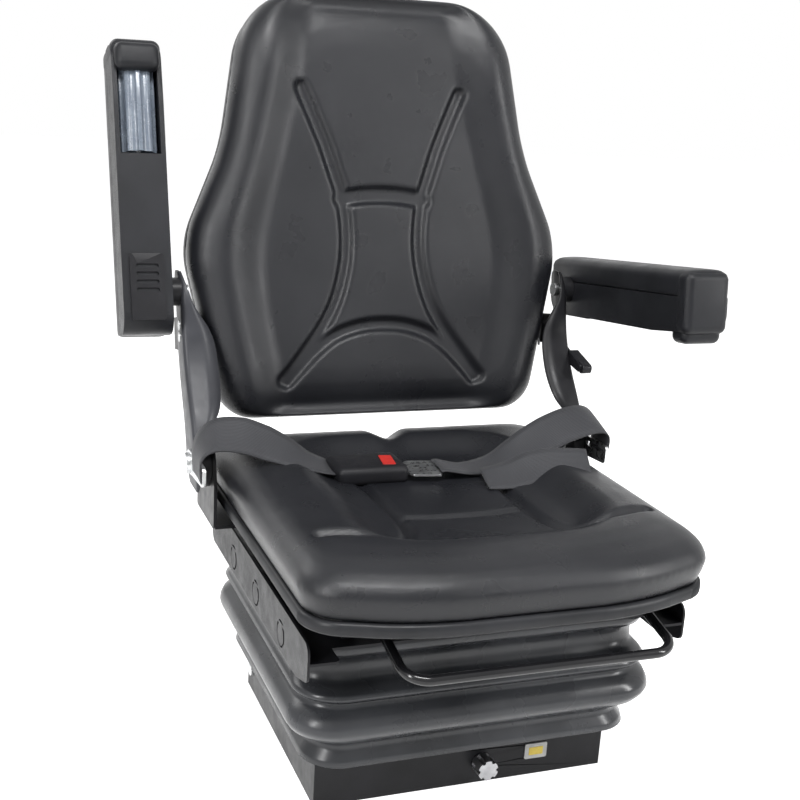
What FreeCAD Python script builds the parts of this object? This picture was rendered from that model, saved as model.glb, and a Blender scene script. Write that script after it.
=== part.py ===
import FreeCAD, Part
import math
import os
import re
import Sketcher

# Suspension seat of an agricultural machine, in millimetres.
# Origin: centre of the base's underside. +Z up, the sitter looks along -Y, +X is the sitter's left.

Vector = FreeCAD.Vector
doc = FreeCAD.newDocument("MachineSeat")
sheet = doc.addObject("Spreadsheet::Sheet", "Sizes")

dimensions = {
    # folded steel base and upper frame
    "base_width": 352, "base_depth": 300, "base_height": 52, "steel": 3, "base_lip": 22,
    "floor_window_in": 26, "floor_window_out": 118, "floor_window_front": 92, "floor_window_rear": 84,
    "bolt_span_x": 270, "bolt_span_y": 240, "bolt_hole_r": 4.5,
    "frame_bottom": 164, "frame_top": 216, "frame_flange": 22,
    # scissor linkage
    "link_length": 270, "link_pivot_y": 130, "link_pivot_z": 30, "link_rise": 150, "link_steel": 5,
    "link_height": 38, "link_end_r": 13, "outer_link_x": 147, "inner_link_x": 139,
    "link_tube_r": 10, "shaft_r": 6, "shaft_gap": 0.1, "cross_gap": 1.9, "shaft_head_r": 9,
    "roller_r": 11, "roller_width": 14, "roller_in": 154, "roller_axle_r": 5, "roller_gap": 1.8,
    "track_steel": 2.5, "track_in": 152.6, "track_front": 146, "track_rear": 50,
    # tension springs and their adjuster
    "spring_x": 62, "spring_r": 11, "spring_wire": 4, "spring_pitch": 12, "spring_z": 17,
    "hook_y": 112.7, "lug_half": 6, "lug_reach": 24,
    "carrier_y": 112, "carrier_depth": 14, "carrier_height": 18, "carrier_half": 78,
    "spindle_x": 22, "spindle_z": 26, "spindle_r": 5, "knob_r": 12, "knob_depth": 20,
    "window_x": 90, "window_z": 31, "window_width": 24, "window_height": 15,
    # damper
    "damper_foot_y": 88, "damper_foot_z": 36, "damper_head_y": 108, "damper_head_z": 172,
    "damper_tube_r": 14, "damper_tube_length": 125, "damper_rod_r": 5, "damper_eye_r": 9,
    "damper_pin_r": 4, "damper_eye_width": 22, "damper_ear": 4, "damper_gap": 3.4,
    # bellows
    "bellows_wall": 2.5, "bellows_foot": 52, "bellows_top": 213, "bellows_clear": 0.3,
    "fold_low_z": 68, "fold_low_out": 19, "valley_low_z": 88, "valley_low_out": 9,
    "fold_main_z": 120, "fold_main_out": 38, "fold_main_half": 15, "fold_main_in": 7,
    "valley_high_z": 142, "valley_high_out": 22, "fold_high_z": 150, "fold_high_out": 31,
    "recess_low_z": 164, "recess_high_z": 192, "recess_out": 27,
    "fold_front_extra": 22, "fold_rear_extra": 12, "bellows_corner": 34,
    # skirt round the top of the bellows
    "skirt_half": 214, "skirt_wall": 2.5, "skirt_low": 184, "skirt_high": 236,
    "skirt_front": 232, "skirt_rear": 200, "ring_front": 202, "ring_thick": 3,
    "dimple_r": 15, "dimple_pitch": 108, "dimple_depth": 1.6, "dimple_z": 204, "dimple_first": 24,
    # fore and aft rails
    "rail_x": 152, "rail_width": 34, "rail_low_height": 16, "rail_steel": 2.5, "rail_lip": 6.5,
    "rail_gap": 0.6, "rail_low_length": 300, "rail_up_front": 190, "rail_up_rear": 150,
    "rail_head_half": 15, "rail_stem_half": 7,
    # pan, cushion and edge trim
    "pan_bottom": 245, "pan_top": 261, "pan_half": 203, "pan_front": 238, "pan_rear": 190,
    "pan_wall": 2.5, "pan_corner": 48,
    "seat_half": 223, "seat_front": 293, "seat_side_front": 255, "seat_rear": 200,
    "seat_nose_half": 120, "seat_corner": 45, "seat_nose_r": 250, "seat_rear_corner": 40,
    "trim_low": 259, "trim_high": 273, "trim_wide": 8, "cushion_gap": 0.5,
    "cushion_low": 261.3, "cushion_mid": 300, "cushion_top": 328, "dish_depth": 20,
    "dish_side": 78, "dish_front": 84, "dish_rear": 60, "dish_corner": 55,
    # recline hinge brackets on the pan
    "hinge_y": 125, "hinge_z": 312, "bracket_x": 235, "plate": 4, "bracket_front": 84,
    "bracket_rear": 178, "hinge_boss_r": 27, "hinge_bolt_r": 7,
    "disc_r": 29, "disc_gap": 0.3, "arm_x": 252,
    # backrest side arms
    "rest_pivot_y": 215, "rest_pivot_z": 500, "arm_boss_r": 31, "arm_top_r": 27,
    "arm_flange_wide": 34,
    # backrest
    "back_y": 175, "back_z": 347, "back_lean": 10.2, "back_bottom_half": 205, "back_half": 250,
    "back_wide_at": 215, "back_waist_half": 198, "back_waist_at": 335, "back_top_half": 168,
    "back_height": 520, "back_corner": 45, "back_wide_r": 110, "back_waist_r": 260, "back_top_r": 108,
    "back_front": 22, "back_rear": 55, "shell_thick": 24, "shell_inset": 13, "back_dish": 18,
    "back_dish_side": 74, "back_dish_end": 92, "back_lip": 16, "rim": 3, "strap_at": 85, "strap_high": 40,
    "strap_thick": 4, "strap_front": 5,
    # recliner lever and return spring
    "lever_y": 198, "lever_z": 424, "lever_reach": 62, "lever_grip": 13,
    "lever_boss_r": 11, "lever_pin_r": 4, "lever_tilt": 14.5, "hairpin_wire": 4, "hairpin_x": 240,
    # slide release bar
    "bar_y": 285, "bar_z": 212, "bar_r": 5.5, "bar_left": 173.4, "bar_right": 128, "bar_bend": 26,
    "bar_pivot_y": 165, "bar_pivot_z": 238, "bar_pin_r": 3,
    # armrests
    "rest_in": 270, "rest_width": 58, "rest_length": 340, "rest_pivot_t": 52, "rest_pivot_h": 34,
    "rest_height": 68, "housing_height": 44, "rest_corner": 14, "rest_down": 6.8, "rest_up": 107.4,
    "wheel_r": 22, "wheel_length": 98, "wheel_t": 262, "wheel_h": 20, "wheel_axle_r": 3,
    "wheel_flute_r": 5.5, "wheel_flutes": 10, "wheel_room": 3, "cover_t": 48, "cover_length": 78,
    "cover_width": 40, "cover_thick": 2.5, "rest_bolt_r": 5, "spacer_r": 17,
    # lap belt
    "web_width": 47, "web_thick": 1.6, "buckle_length": 82, "buckle_width": 56, "buckle_height": 22,
    "buckle_x": 66, "buckle_y": 44, "buckle_turn": 8, "button_width": 34, "button_travel": 4,
    "tongue_length": 46, "tongue_thick": 2.4, "belt_lift": 1.2, "anchor_x": 260.6,
    "anchor_y": 76, "anchor_z": 318, "anchor_thick": 4,
}


def write_sheet():
    for row, (name, number) in enumerate(dimensions.items(), start=1):
        sheet.set("A%d" % row, name)
        sheet.set("B%d" % row, str(number))
        sheet.setAlias("B%d" % row, name)
    doc.recompute()


def linked(rule):
    """A rule in words, such as "base_width / 2 - steel", as an expression on the sheet."""
    def cell(match):
        word = match.group(0)
        return "Sizes." + word if word in dimensions else word
    return re.sub(r"[a-z_]+", cell, rule)


def size(rule):
    return float(sheet.evalExpression(linked(rule)))


write_sheet()


# Building blocks


def new_body(name):
    body = doc.addObject("PartDesign::Body", name)
    body.Label = name
    return body


def origin_plane(body, role):
    return next(o for o in body.Origin.OriginFeatures if o.Role == role)


def new_sketch(body, role, offset="0"):
    """A sketch on one of the body's origin planes, shifted along the plane's normal."""
    sketch = body.newObject("Sketcher::SketchObject", body.Label + "_sketch")
    sketch.AttachmentSupport = [(origin_plane(body, role), "")]
    sketch.MapMode = "FlatFace"
    if offset != "0":
        sketch.setExpression("AttachmentOffset.Base.z", linked(offset))
    return sketch


def constrain(sketch, wanted):
    """Adds constraints in one go; those that end in a rule in words follow the sheet."""
    ready = []
    for kind, *numbers in wanted:
        if isinstance(numbers[-1], str):
            numbers[-1] = size(numbers[-1])
        ready.append(Sketcher.Constraint(kind, *numbers))
    first = sketch.ConstraintCount
    sketch.addConstraint(ready)
    for index, (kind, *numbers) in enumerate(wanted, start=first):
        if isinstance(numbers[-1], str):
            name = "d%d" % index
            sketch.renameConstraint(index, name)
            sketch.setExpression("Constraints." + name, linked(numbers[-1]))


def corner_point(corner):
    return Vector(size(corner[0]), size(corner[1]), 0)


def round_corners(corners):
    """Corner points, the straight runs between them and the arc at each rounded corner."""
    points = [corner_point(c) for c in corners]
    count = len(points)
    starts, ends, arcs = [], [], {}
    for i, here in enumerate(points):
        radius = size(corners[i][2]) if len(corners[i]) > 2 else 0
        to_last = (points[i - 1] - here).normalize()
        to_next = (points[(i + 1) % count] - here).normalize()
        half_angle = math.acos(max(-1, min(1, to_last.dot(to_next)))) / 2
        reach = radius / math.tan(half_angle)
        ends.append(here + to_last * reach)
        starts.append(here + to_next * reach)
        if radius:
            inward = (to_last + to_next).normalize()
            centre = here + inward * (radius / math.sin(half_angle))
            arcs[i] = (ends[i], centre - inward * radius, starts[i])
    return points, starts, ends, arcs


def draw_outline(sketch, corners):
    """A closed outline through corners (x, y, radius); a corner with no radius stays sharp."""
    points, starts, ends, arcs = round_corners(corners)
    count = len(points)
    runs = [Part.LineSegment(starts[i], ends[(i + 1) % count]) for i in range(count)]
    lines = sketch.addGeometry(runs, False)
    wanted = []
    for i in range(count):
        before, after = lines[i - 1], lines[i]
        x, y = corners[i][:2]
        if i not in arcs:
            wanted += [("Coincident", before, 2, after, 1),
                       ("DistanceX", after, 1, x), ("DistanceY", after, 1, y)]
            continue
        start, middle, end = arcs[i]
        leftward = (middle - start).cross(end - middle).z > 0
        arc = sketch.addGeometry(Part.Arc(*arcs[i]) if leftward else Part.Arc(end, middle, start), False)
        near, far = (1, 2) if leftward else (2, 1)
        knee = sketch.addGeometry(Part.Point(points[i]), True)
        wanted += [("Tangent", before, 2, arc, near), ("Tangent", arc, far, after, 1),
                   ("Radius", arc, corners[i][2]),
                   ("PointOnObject", knee, 1, before), ("PointOnObject", knee, 1, after),
                   ("DistanceX", knee, 1, x), ("DistanceY", knee, 1, y)]
    constrain(sketch, wanted)


def draw_circle(sketch, x, y, radius):
    centre = Vector(size(x), size(y), 0)
    circle = sketch.addGeometry(Part.Circle(centre, Vector(0, 0, 1), size(radius)), False)
    constrain(sketch, [("DistanceX", circle, 3, x), ("DistanceY", circle, 3, y), ("Radius", circle, radius)])


def draw_box(sketch, x_low, x_high, y_low, y_high, radius=None):
    corners = [(x_low, y_low), (x_high, y_low), (x_high, y_high), (x_low, y_high)]
    if radius:
        corners = [c + (radius,) for c in corners]
    draw_outline(sketch, corners)


def draw_slot(sketch, x_low, x_high, y, radius):
    low = "%s - (%s)" % (y, radius)
    high = "%s + (%s)" % (y, radius)
    draw_box(sketch, x_low, x_high, low, high, "(%s) * 0.98" % radius)


def pad(sketch, length, centred=False, back=False):
    body = sketch.getParentGeoFeatureGroup()
    feature = body.newObject("PartDesign::Pad", body.Label + "_pad")
    feature.Profile = sketch
    feature.setExpression("Length", linked(length))
    feature.Midplane = centred
    feature.Reversed = back
    doc.recompute()
    return feature


def cut(sketch, depth=None, back=False):
    """Cuts right through both ways, or to a depth; a cut that removes nothing stops the build."""
    body = sketch.getParentGeoFeatureGroup()
    before = body.Shape.Volume
    feature = body.newObject("PartDesign::Pocket", body.Label + "_cut")
    feature.Profile = sketch
    if depth is None:
        feature.Type = "ThroughAll"
        feature.Midplane = True
    else:
        feature.setExpression("Length", linked(depth))
        feature.Reversed = back
    doc.recompute()
    if not body.Shape.Volume < before - 1e-6:
        raise ValueError("a cut in %s removes nothing" % body.Label)
    return feature


def mirror_body(body, role="YZ_Plane"):
    """The whole body so far, doubled across one of its origin planes."""
    feature = body.newObject("PartDesign::Mirrored", body.Label + "_mirror")
    feature.TransformMode = "Whole shape"
    feature.MirrorPlane = (origin_plane(body, role), [""])
    body.Tip = feature
    doc.recompute()
    return feature


def stack(body, role, levels, outline, cutting=False, smooth=False):
    """A loft through copies of one outline; each level is (height, values put into the outline)."""
    sketches = []
    for height, values in levels:
        sketch = new_sketch(body, role, height)
        draw_outline(sketch, outline(*values))
        sketches.append(sketch)
    doc.recompute()
    before = body.Shape.Volume if cutting else 0
    kind = "SubtractiveLoft" if cutting else "AdditiveLoft"
    feature = body.newObject("PartDesign::" + kind, body.Label + "_loft")
    feature.Profile = sketches[0]
    feature.Sections = sketches[1:]
    feature.Ruled = not smooth
    doc.recompute()
    if cutting and not body.Shape.Volume < before - 1e-6:
        raise ValueError("a loft in %s removes nothing" % body.Label)
    return feature


def rounded_wire(corners, height, upright):
    """The same outline as a wire, at a height along +Z, or along -Y when it stands upright."""
    def lift(point):
        return Vector(point.x, -height, point.y) if upright else Vector(point.x, point.y, height)
    starts, ends, arcs = round_corners(corners)[1:]
    edges = []
    for i in range(len(corners)):
        if i in arcs:
            edges.append(Part.Arc(*[lift(p) for p in arcs[i]]).toShape())
        edges.append(Part.makeLine(lift(starts[i]), lift(ends[(i + 1) % len(corners)])))
    return Part.Wire(edges)


def moulding(name, outline, levels, cuts, upright=False):
    """A soft or moulded form: a ruled stack of outlines less the stacks in cuts."""
    def solid(stack_levels):
        wires = [rounded_wire(outline(*values), size(height), upright) for height, values in stack_levels]
        return Part.makeLoft(wires, True, True)
    shape = solid(levels)
    for cut_levels in cuts:
        shape = shape.cut(solid(cut_levels))
    return feature_shape(name, shape)


def feature_shape(name, shape):
    part = doc.addObject("Part::Feature", name)
    part.Label = name
    part.Shape = shape
    return part


def bent_rod(name, path, radius, lift):
    """A round rod bent through corners (x, y, bend radius); lift maps the plane of the path to space."""
    points = [corner_point(c) for c in path]
    last = len(points) - 1
    edges = []
    start = points[0]
    for i in range(1, last):
        bend = size(path[i][2])
        back = (points[i - 1] - points[i]).normalize()
        ahead = (points[i + 1] - points[i]).normalize()
        half_angle = math.acos(back.dot(ahead)) / 2
        reach = bend / math.tan(half_angle)
        inward = (back + ahead).normalize()
        middle = points[i] + inward * (bend / math.sin(half_angle) - bend)
        near, far = points[i] + back * reach, points[i] + ahead * reach
        edges.append(Part.makeLine(lift(start), lift(near)))
        edges.append(Part.Arc(lift(near), lift(middle), lift(far)).toShape())
        start = far
    edges.append(Part.makeLine(lift(start), lift(points[last])))
    heading = edges[0].tangentAt(edges[0].FirstParameter)
    section = Part.Wire(Part.makeCircle(size(radius), lift(points[0]), heading))
    return feature_shape(name, Part.Wire(edges).makePipeShell([section], True, False))


def place(body, x="0", y="0", z="0", tilt="0"):
    """Puts a body at a point, tilted about the X direction by a rule in degrees."""
    body.Placement = FreeCAD.Placement(Vector(), FreeCAD.Rotation(Vector(1, 0, 0), 1))
    for axis, rule in zip("xyz", (x, y, z)):
        body.setExpression("Placement.Base." + axis, linked(rule))
    body.setExpression("Placement.Rotation.Angle", linked(tilt))
    doc.recompute()


# Base and upper frame


def base_frame():
    """Folded tray: floor, walls and in-turned lips, with windows, bolt holes and the front openings."""
    body = new_body("base_frame")
    half = "base_width / 2"
    inner = "base_width / 2 - steel"
    lip = "base_width / 2 - base_lip"
    profile = new_sketch(body, "XZ_Plane")
    right = [(half, "0"), (half, "base_height"), (lip, "base_height"), (lip, "base_height - steel"),
             (inner, "base_height - steel"), (inner, "steel")]
    left = [("-(%s)" % x, y) for x, y in reversed(right)]
    draw_outline(profile, right + left)
    pad(profile, "base_depth", centred=True)
    wall = new_sketch(body, "XY_Plane")
    draw_box(wall, "-(%s)" % half, half, "-base_depth / 2", "-base_depth / 2 + steel")
    pad(wall, "base_height")
    mirror_body(body, "XZ_Plane")
    window = new_sketch(body, "XY_Plane")
    for side in ("", "-"):
        ends = [side + "floor_window_in", side + "floor_window_out"]
        low, high = ends if side == "" else reversed(ends)
        draw_box(window, low, high, "-floor_window_front", "floor_window_rear", "steel * 4")
        for end in ("", "-"):
            draw_circle(window, side + "bolt_span_x / 2", end + "bolt_span_y / 2", "bolt_hole_r")
    cut(window, "steel + 1", back=True)
    shaft = new_sketch(body, "YZ_Plane")
    draw_circle(shaft, "link_pivot_y", "link_pivot_z", "shaft_r + shaft_gap / 2")
    cut(shaft)
    front = new_sketch(body, "XZ_Plane", "base_depth / 2 + 1")
    draw_circle(front, "spindle_x", "spindle_z", "spindle_r + shaft_gap")
    draw_box(front, "window_x - window_width / 2", "window_x + window_width / 2",
             "window_z - window_height / 2", "window_z + window_height / 2", "steel / 2")
    cut(front, "steel + 2")
    return body


def upper_frame():
    """The lower tray's mirror: a top plate with down-turned walls that the rails bolt to."""
    body = new_body("upper_frame")
    half = "base_width / 2"
    inner = "base_width / 2 - steel"
    profile = new_sketch(body, "XZ_Plane")
    draw_outline(profile, [("-(%s)" % half, "frame_bottom"), ("-(%s)" % inner, "frame_bottom"),
                           ("-(%s)" % inner, "frame_top - steel"), (inner, "frame_top - steel"),
                           (inner, "frame_bottom"), (half, "frame_bottom"),
                           (half, "frame_top"), ("-(%s)" % half, "frame_top")])
    pad(profile, "base_depth", centred=True)
    wall = new_sketch(body, "XY_Plane", "frame_top - frame_flange")
    draw_box(wall, "-(%s)" % half, half, "-base_depth / 2", "-base_depth / 2 + steel")
    pad(wall, "frame_flange")
    mirror_body(body, "XZ_Plane")
    window = new_sketch(body, "XY_Plane", "frame_top + 1")
    for side in ("", "-"):
        ends = [side + "floor_window_in", side + "floor_window_out"]
        low, high = ends if side == "" else reversed(ends)
        draw_box(window, low, high, "-floor_window_front", "floor_window_rear", "steel * 4")
    cut(window, "steel + 2")
    shaft = new_sketch(body, "YZ_Plane")
    draw_circle(shaft, "link_pivot_y", "link_pivot_z + link_rise", "shaft_r + shaft_gap / 2")
    cut(shaft)
    return body


def roller_tracks(name, height):
    """A pair of channels, inside the side walls, that the link rollers run in."""
    body = new_body(name)
    reach = "roller_r + roller_gap"
    web = "base_width / 2 - steel"
    inner = "base_width / 2 - steel - track_steel"
    sketch = new_sketch(body, "XZ_Plane", "track_rear")
    low, high = "%s - (%s)" % (height, reach), "%s + %s" % (height, reach)
    draw_outline(sketch, [("track_in", low + " - track_steel"), (web, low + " - track_steel"),
                          (web, high + " + track_steel"), ("track_in", high + " + track_steel"),
                          ("track_in", high), (inner, high), (inner, low), ("track_in", low)])
    pad(sketch, "track_front - track_rear")
    mirror_body(body)
    return body


def link_outline():
    end = "link_end_r * 0.98"
    return [("link_end_r", "-link_end_r", end), ("link_end_r", "link_end_r", end),
            ("-link_length / 2", "link_height / 2", "link_length / 3"),
            ("-link_length - link_end_r", "link_end_r * 0.7", "link_end_r * 0.5"),
            ("-link_length - link_end_r", "-link_end_r * 0.7", "link_end_r * 0.5"),
            ("-link_length / 2", "-link_height / 2", "link_length / 3")]


def link(name, inside, rise_side):
    """A pair of scissor arms on a cross tube, drawn along -Y from the hinge and then tilted."""
    body = new_body(name)
    plate = new_sketch(body, "YZ_Plane", inside)
    draw_outline(plate, link_outline())
    pad(plate, "link_steel")
    holes = new_sketch(body, "YZ_Plane", inside + " - 1")
    for share in ("0.2", "0.7"):
        low = "-link_length * (%s + 0.12)" % share
        high = "-link_length * (%s - 0.02)" % share
        draw_slot(holes, low, high, "0", "link_height / 6")
    if name == "inner_links":
        draw_circle(holes, "-link_length / 2", "0", "shaft_r + cross_gap")
    cut(holes, "link_steel + 2", back=True)
    mirror_body(body)
    tube = new_sketch(body, "YZ_Plane")
    draw_circle(tube, "0", "0", "link_tube_r")
    pad(tube, "2 * %s + 2 * link_steel" % inside, centred=True)
    bore = new_sketch(body, "YZ_Plane")
    draw_circle(bore, "0", "0", "shaft_r + shaft_gap")
    cut(bore)
    axle_start = inside + " + link_steel - 1"
    axle = new_sketch(body, "YZ_Plane", axle_start)
    draw_circle(axle, "-link_length", "0", "roller_axle_r")
    pad(axle, "roller_in + roller_width + 1 - (%s)" % axle_start)
    if name == "outer_links":
        pin = new_sketch(body, "YZ_Plane", inside + " + 1")
        draw_circle(pin, "-link_length / 2", "0", "shaft_r")
        pad(pin, "%s - inner_link_x + 4" % inside, back=True)
        lug = new_sketch(body, "YZ_Plane", "spring_x - 2")
        draw_outline(lug, [("-lug_half", "-lug_reach", "2"), ("lug_half", "-lug_reach", "2"),
                           ("lug_half", "-link_tube_r * 0.7"), ("-lug_half", "-link_tube_r * 0.7")])
        pad(lug, "4")
    mirror_body(body)
    place(body, y="link_pivot_y", z=rise_side[0], tilt=rise_side[1])
    return body


def rollers(name, height):
    """The pair of rollers at the free ends of one pair of links."""
    body = new_body(name)
    sketch = new_sketch(body, "YZ_Plane", "roller_in")
    draw_circle(sketch, "0", "0", "roller_r")
    draw_circle(sketch, "0", "0", "roller_axle_r + shaft_gap")
    pad(sketch, "roller_width")
    mirror_body(body)
    place(body, y="link_pivot_y - link_length * cos(asin(link_rise / link_length))", z=height)
    return body


def hinge_shaft(name, height):
    """A plain shaft with upset heads outside the side walls."""
    body = new_body(name)
    sketch = new_sketch(body, "YZ_Plane")
    draw_circle(sketch, "link_pivot_y", height, "shaft_r")
    pad(sketch, "base_width", centred=True)
    head = new_sketch(body, "YZ_Plane", "base_width / 2")
    draw_circle(head, "link_pivot_y", height, "shaft_head_r")
    pad(head, "steel")
    mirror_body(body)
    return body


def spring_carrier():
    """The bar that the springs hook on; the spindle draws it forwards."""
    body = new_body("spring_carrier")
    sketch = new_sketch(body, "XZ_Plane", "carrier_y - carrier_depth / 2")
    middle = "spindle_z"
    draw_box(sketch, "-carrier_half", "carrier_half", middle + " - carrier_height / 2",
             middle + " + carrier_height / 2", "steel")
    draw_circle(sketch, "spindle_x", "spindle_z", "spindle_r + shaft_gap")
    pad(sketch, "carrier_depth")
    return body


def weight_knob():
    """The adjuster: a lobed knob on a spindle that runs through the front wall to the carrier."""
    body = new_body("weight_knob")
    spindle = new_sketch(body, "XZ_Plane", "carrier_y - carrier_depth")
    draw_circle(spindle, "spindle_x", "spindle_z", "spindle_r")
    pad(spindle, "base_depth / 2 + knob_depth / 2 - carrier_y + carrier_depth")
    knob = new_sketch(body, "XZ_Plane", "base_depth / 2 + steel / 3")
    draw_circle(knob, "spindle_x", "spindle_z", "knob_r")
    pad(knob, "knob_depth")
    lobes = new_sketch(body, "XZ_Plane", "base_depth / 2 + steel")
    for step in range(6):
        angle = "%d" % (step * 60)
        draw_circle(lobes, "spindle_x + knob_r * cos(%s)" % angle, "spindle_z + knob_r * sin(%s)" % angle,
                    "knob_r / 5")
    cut(lobes, "knob_depth", back=True)
    return body


def weight_window():
    """The frame round the driver's weight scale, let into the front wall."""
    body = new_body("weight_window")
    flange = new_sketch(body, "XZ_Plane", "base_depth / 2 + shaft_gap")
    draw_box(flange, "window_x - window_width / 2 - 2", "window_x + window_width / 2 + 2",
             "window_z - window_height / 2 - 2", "window_z + window_height / 2 + 2", "2")
    pad(flange, "1.5")
    neck = new_sketch(body, "XZ_Plane", "base_depth / 2 + 1")
    draw_box(neck, "window_x - window_width / 2 + 0.3", "window_x + window_width / 2 - 0.3",
             "window_z - window_height / 2 + 0.3", "window_z + window_height / 2 - 0.3", "1")
    pad(neck, "steel + 3", back=True)
    opening = new_sketch(body, "XZ_Plane", "base_depth / 2 + 2")
    draw_box(opening, "window_x - window_width / 4", "window_x + window_width / 4",
             "window_z - window_height / 4", "window_z + window_height / 4", "1")
    cut(opening, "3")
    return body


def suspension_springs():
    """Two tension springs, from the carrier to the lugs under the rear cross tube."""
    wire = size("spring_wire / 2")
    radius = size("spring_r") - wire
    front = size("-carrier_y + carrier_depth / 2 + shaft_gap")
    rear = size("hook_y")
    hook = 4 * wire
    along = Vector(0, 1, 0)
    helix = Part.makeHelix(size("spring_pitch"), rear - front - 2 * hook, radius)
    helix.rotate(Vector(), Vector(1, 0, 0), -90)
    helix.rotate(Vector(), along, -90)
    helix.translate(Vector(0, front + hook, 0))
    edges = helix.Edges
    start, end = edges[0].valueAt(edges[0].FirstParameter), edges[-1].valueAt(edges[-1].LastParameter)
    section = Part.Wire(Part.makeCircle(wire, start, edges[0].tangentAt(edges[0].FirstParameter)))
    coil = Part.Wire(edges).makePipeShell([section], True, True)
    spring = coil
    for tip, corner in ((front, start), (rear, end)):
        middle = Vector(0, corner.y, 0)
        spring = spring.fuse(Part.makeCylinder(wire, (corner - middle).Length, middle, corner - middle))
        reach = Vector(0, tip, 0) - middle
        spring = spring.fuse(Part.makeCylinder(wire, reach.Length, middle, reach))
        spring = spring.fuse(Part.makeSphere(wire, middle))
    shapes = []
    for side in (-1, 1):
        one = spring.copy()
        one.translate(Vector(side * size("spring_x"), 0, size("spring_z")))
        shapes.append(one)
    return feature_shape("suspension_springs", Part.makeCompound(shapes))


def damper_tube():
    body = new_body("damper_tube")
    eye = new_sketch(body, "YZ_Plane")
    draw_circle(eye, "0", "0", "damper_eye_r")
    pad(eye, "damper_eye_width", centred=True)
    neck = new_sketch(body, "XZ_Plane", "damper_eye_r / 2")
    draw_circle(neck, "0", "0", "damper_eye_r * 0.8")
    pad(neck, "damper_eye_r * 1.5")
    tube = new_sketch(body, "XZ_Plane", "damper_eye_r * 1.7")
    draw_circle(tube, "0", "0", "damper_tube_r")
    pad(tube, "damper_tube_length")
    bore = new_sketch(body, "XZ_Plane", "damper_eye_r * 1.7 + steel * 3")
    draw_circle(bore, "0", "0", "damper_rod_r + shaft_gap")
    cut(bore, "damper_tube_length", back=True)
    pin_hole = new_sketch(body, "YZ_Plane")
    draw_circle(pin_hole, "0", "0", "damper_pin_r + shaft_gap")
    cut(pin_hole)
    place(body, y="damper_foot_y", z="damper_foot_z", tilt=damper_tilt())
    return body


def damper_tilt():
    return "-atan((damper_head_z - damper_foot_z) / (damper_foot_y + damper_head_y))"


def damper_rod():
    body = new_body("damper_rod")
    length = "sqrt((damper_head_z - damper_foot_z) ^ 2 + (damper_foot_y + damper_head_y) ^ 2)"
    start = "damper_tube_length * 0.62"
    rod = new_sketch(body, "XZ_Plane", start)
    draw_circle(rod, "0", "0", "damper_rod_r")
    pad(rod, "%s - %s - damper_eye_r" % (length, start))
    eye = new_sketch(body, "YZ_Plane")
    draw_circle(eye, "-(%s)" % length, "0", "damper_pin_r + damper_gap + steel")
    pad(eye, "damper_eye_width", centred=True)
    hole = new_sketch(body, "YZ_Plane")
    draw_circle(hole, "-(%s)" % length, "0", "damper_pin_r + damper_gap")
    cut(hole)
    place(body, y="damper_foot_y", z="damper_foot_z", tilt=damper_tilt())
    return body


def damper_bracket(name, y, z, floor, up):
    """Two ears and a pin that hold one end of the damper on the floor or under the top plate."""
    body = new_body(name)
    inside = "damper_eye_width / 2 + 1"
    ear = new_sketch(body, "YZ_Plane", inside)
    base = [("%s - damper_eye_r" % y, floor), ("%s + damper_eye_r" % y, floor)]
    tip = "%s + damper_eye_r * %s" % (z, up)
    top = [("%s + damper_eye_r" % y, tip, "damper_eye_r / 2"),
           ("%s - damper_eye_r" % y, tip, "damper_eye_r / 2")]
    draw_outline(ear, base + top)
    pad(ear, "damper_ear")
    mirror_body(body)
    pin = new_sketch(body, "YZ_Plane")
    draw_circle(pin, y, z, "damper_pin_r")
    pad(pin, "damper_eye_width + 2 + 4 * damper_ear", centred=True)
    return body


# Bellows and skirt


def bellows_outline(out, front, rear):
    half = "base_width / 2 + %s" % out
    corner = "bellows_corner + (%s) / 2" % out
    return [("-(%s)" % half, "-(%s)" % front, corner), (half, "-(%s)" % front, corner),
            (half, rear, corner), ("-(%s)" % half, rear, corner)]


def bellows_levels(wall):
    """Heights and plan sizes of the folds; the wall is taken off for the inside."""
    def level(height, out, front="0", rear="0"):
        depth = "base_depth / 2 + %s" % out
        front_rule = "%s + fold_front_extra * 0.9 + (%s) - %s" % (depth, front, wall)
        rear_rule = "%s + fold_rear_extra + (%s) - %s" % (depth, rear, wall)
        return height, ("%s - %s" % (out, wall), front_rule, rear_rule)
    broad = "fold_main_z - fold_main_half"
    return [
        level("bellows_foot", "0", "-fold_front_extra * 0.9", "-fold_rear_extra"),
        level("bellows_foot + 5", "6", "-12", "-6"),
        level("fold_low_z", "fold_low_out"),
        level("valley_low_z", "valley_low_out"),
        level(broad, "fold_main_out - fold_main_in"),
        level("fold_main_z", "fold_main_out", "3"),
        level("fold_main_z + fold_main_half", "fold_main_out - fold_main_in / 2"),
        level("valley_high_z", "valley_high_out", "-2", "2"),
        level("fold_high_z", "fold_high_out", "1"),
        level("recess_low_z - 5", "recess_out + 2", "-3"),
        level("recess_low_z", "recess_out", "-21"),
        level("recess_high_z", "recess_out", "-22"),
        level("bellows_top - 8", "recess_out + 2", "-3"),
        level("bellows_top", "recess_out + 2", "-5"),
    ]


def bellows():
    """Moulded bellows: folds stacked between the base and the ring of the skirt, open at both ends."""
    body = new_body("bellows")
    stack(body, "XY_Plane", bellows_levels("0"), bellows_outline)
    inner = bellows_levels("bellows_wall")
    inner[0] = ("bellows_foot - 1", inner[0][1])
    inner[-1] = ("bellows_top + 1", inner[-1][1])
    stack(body, "XY_Plane", inner, bellows_outline, cutting=True)
    return body


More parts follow.
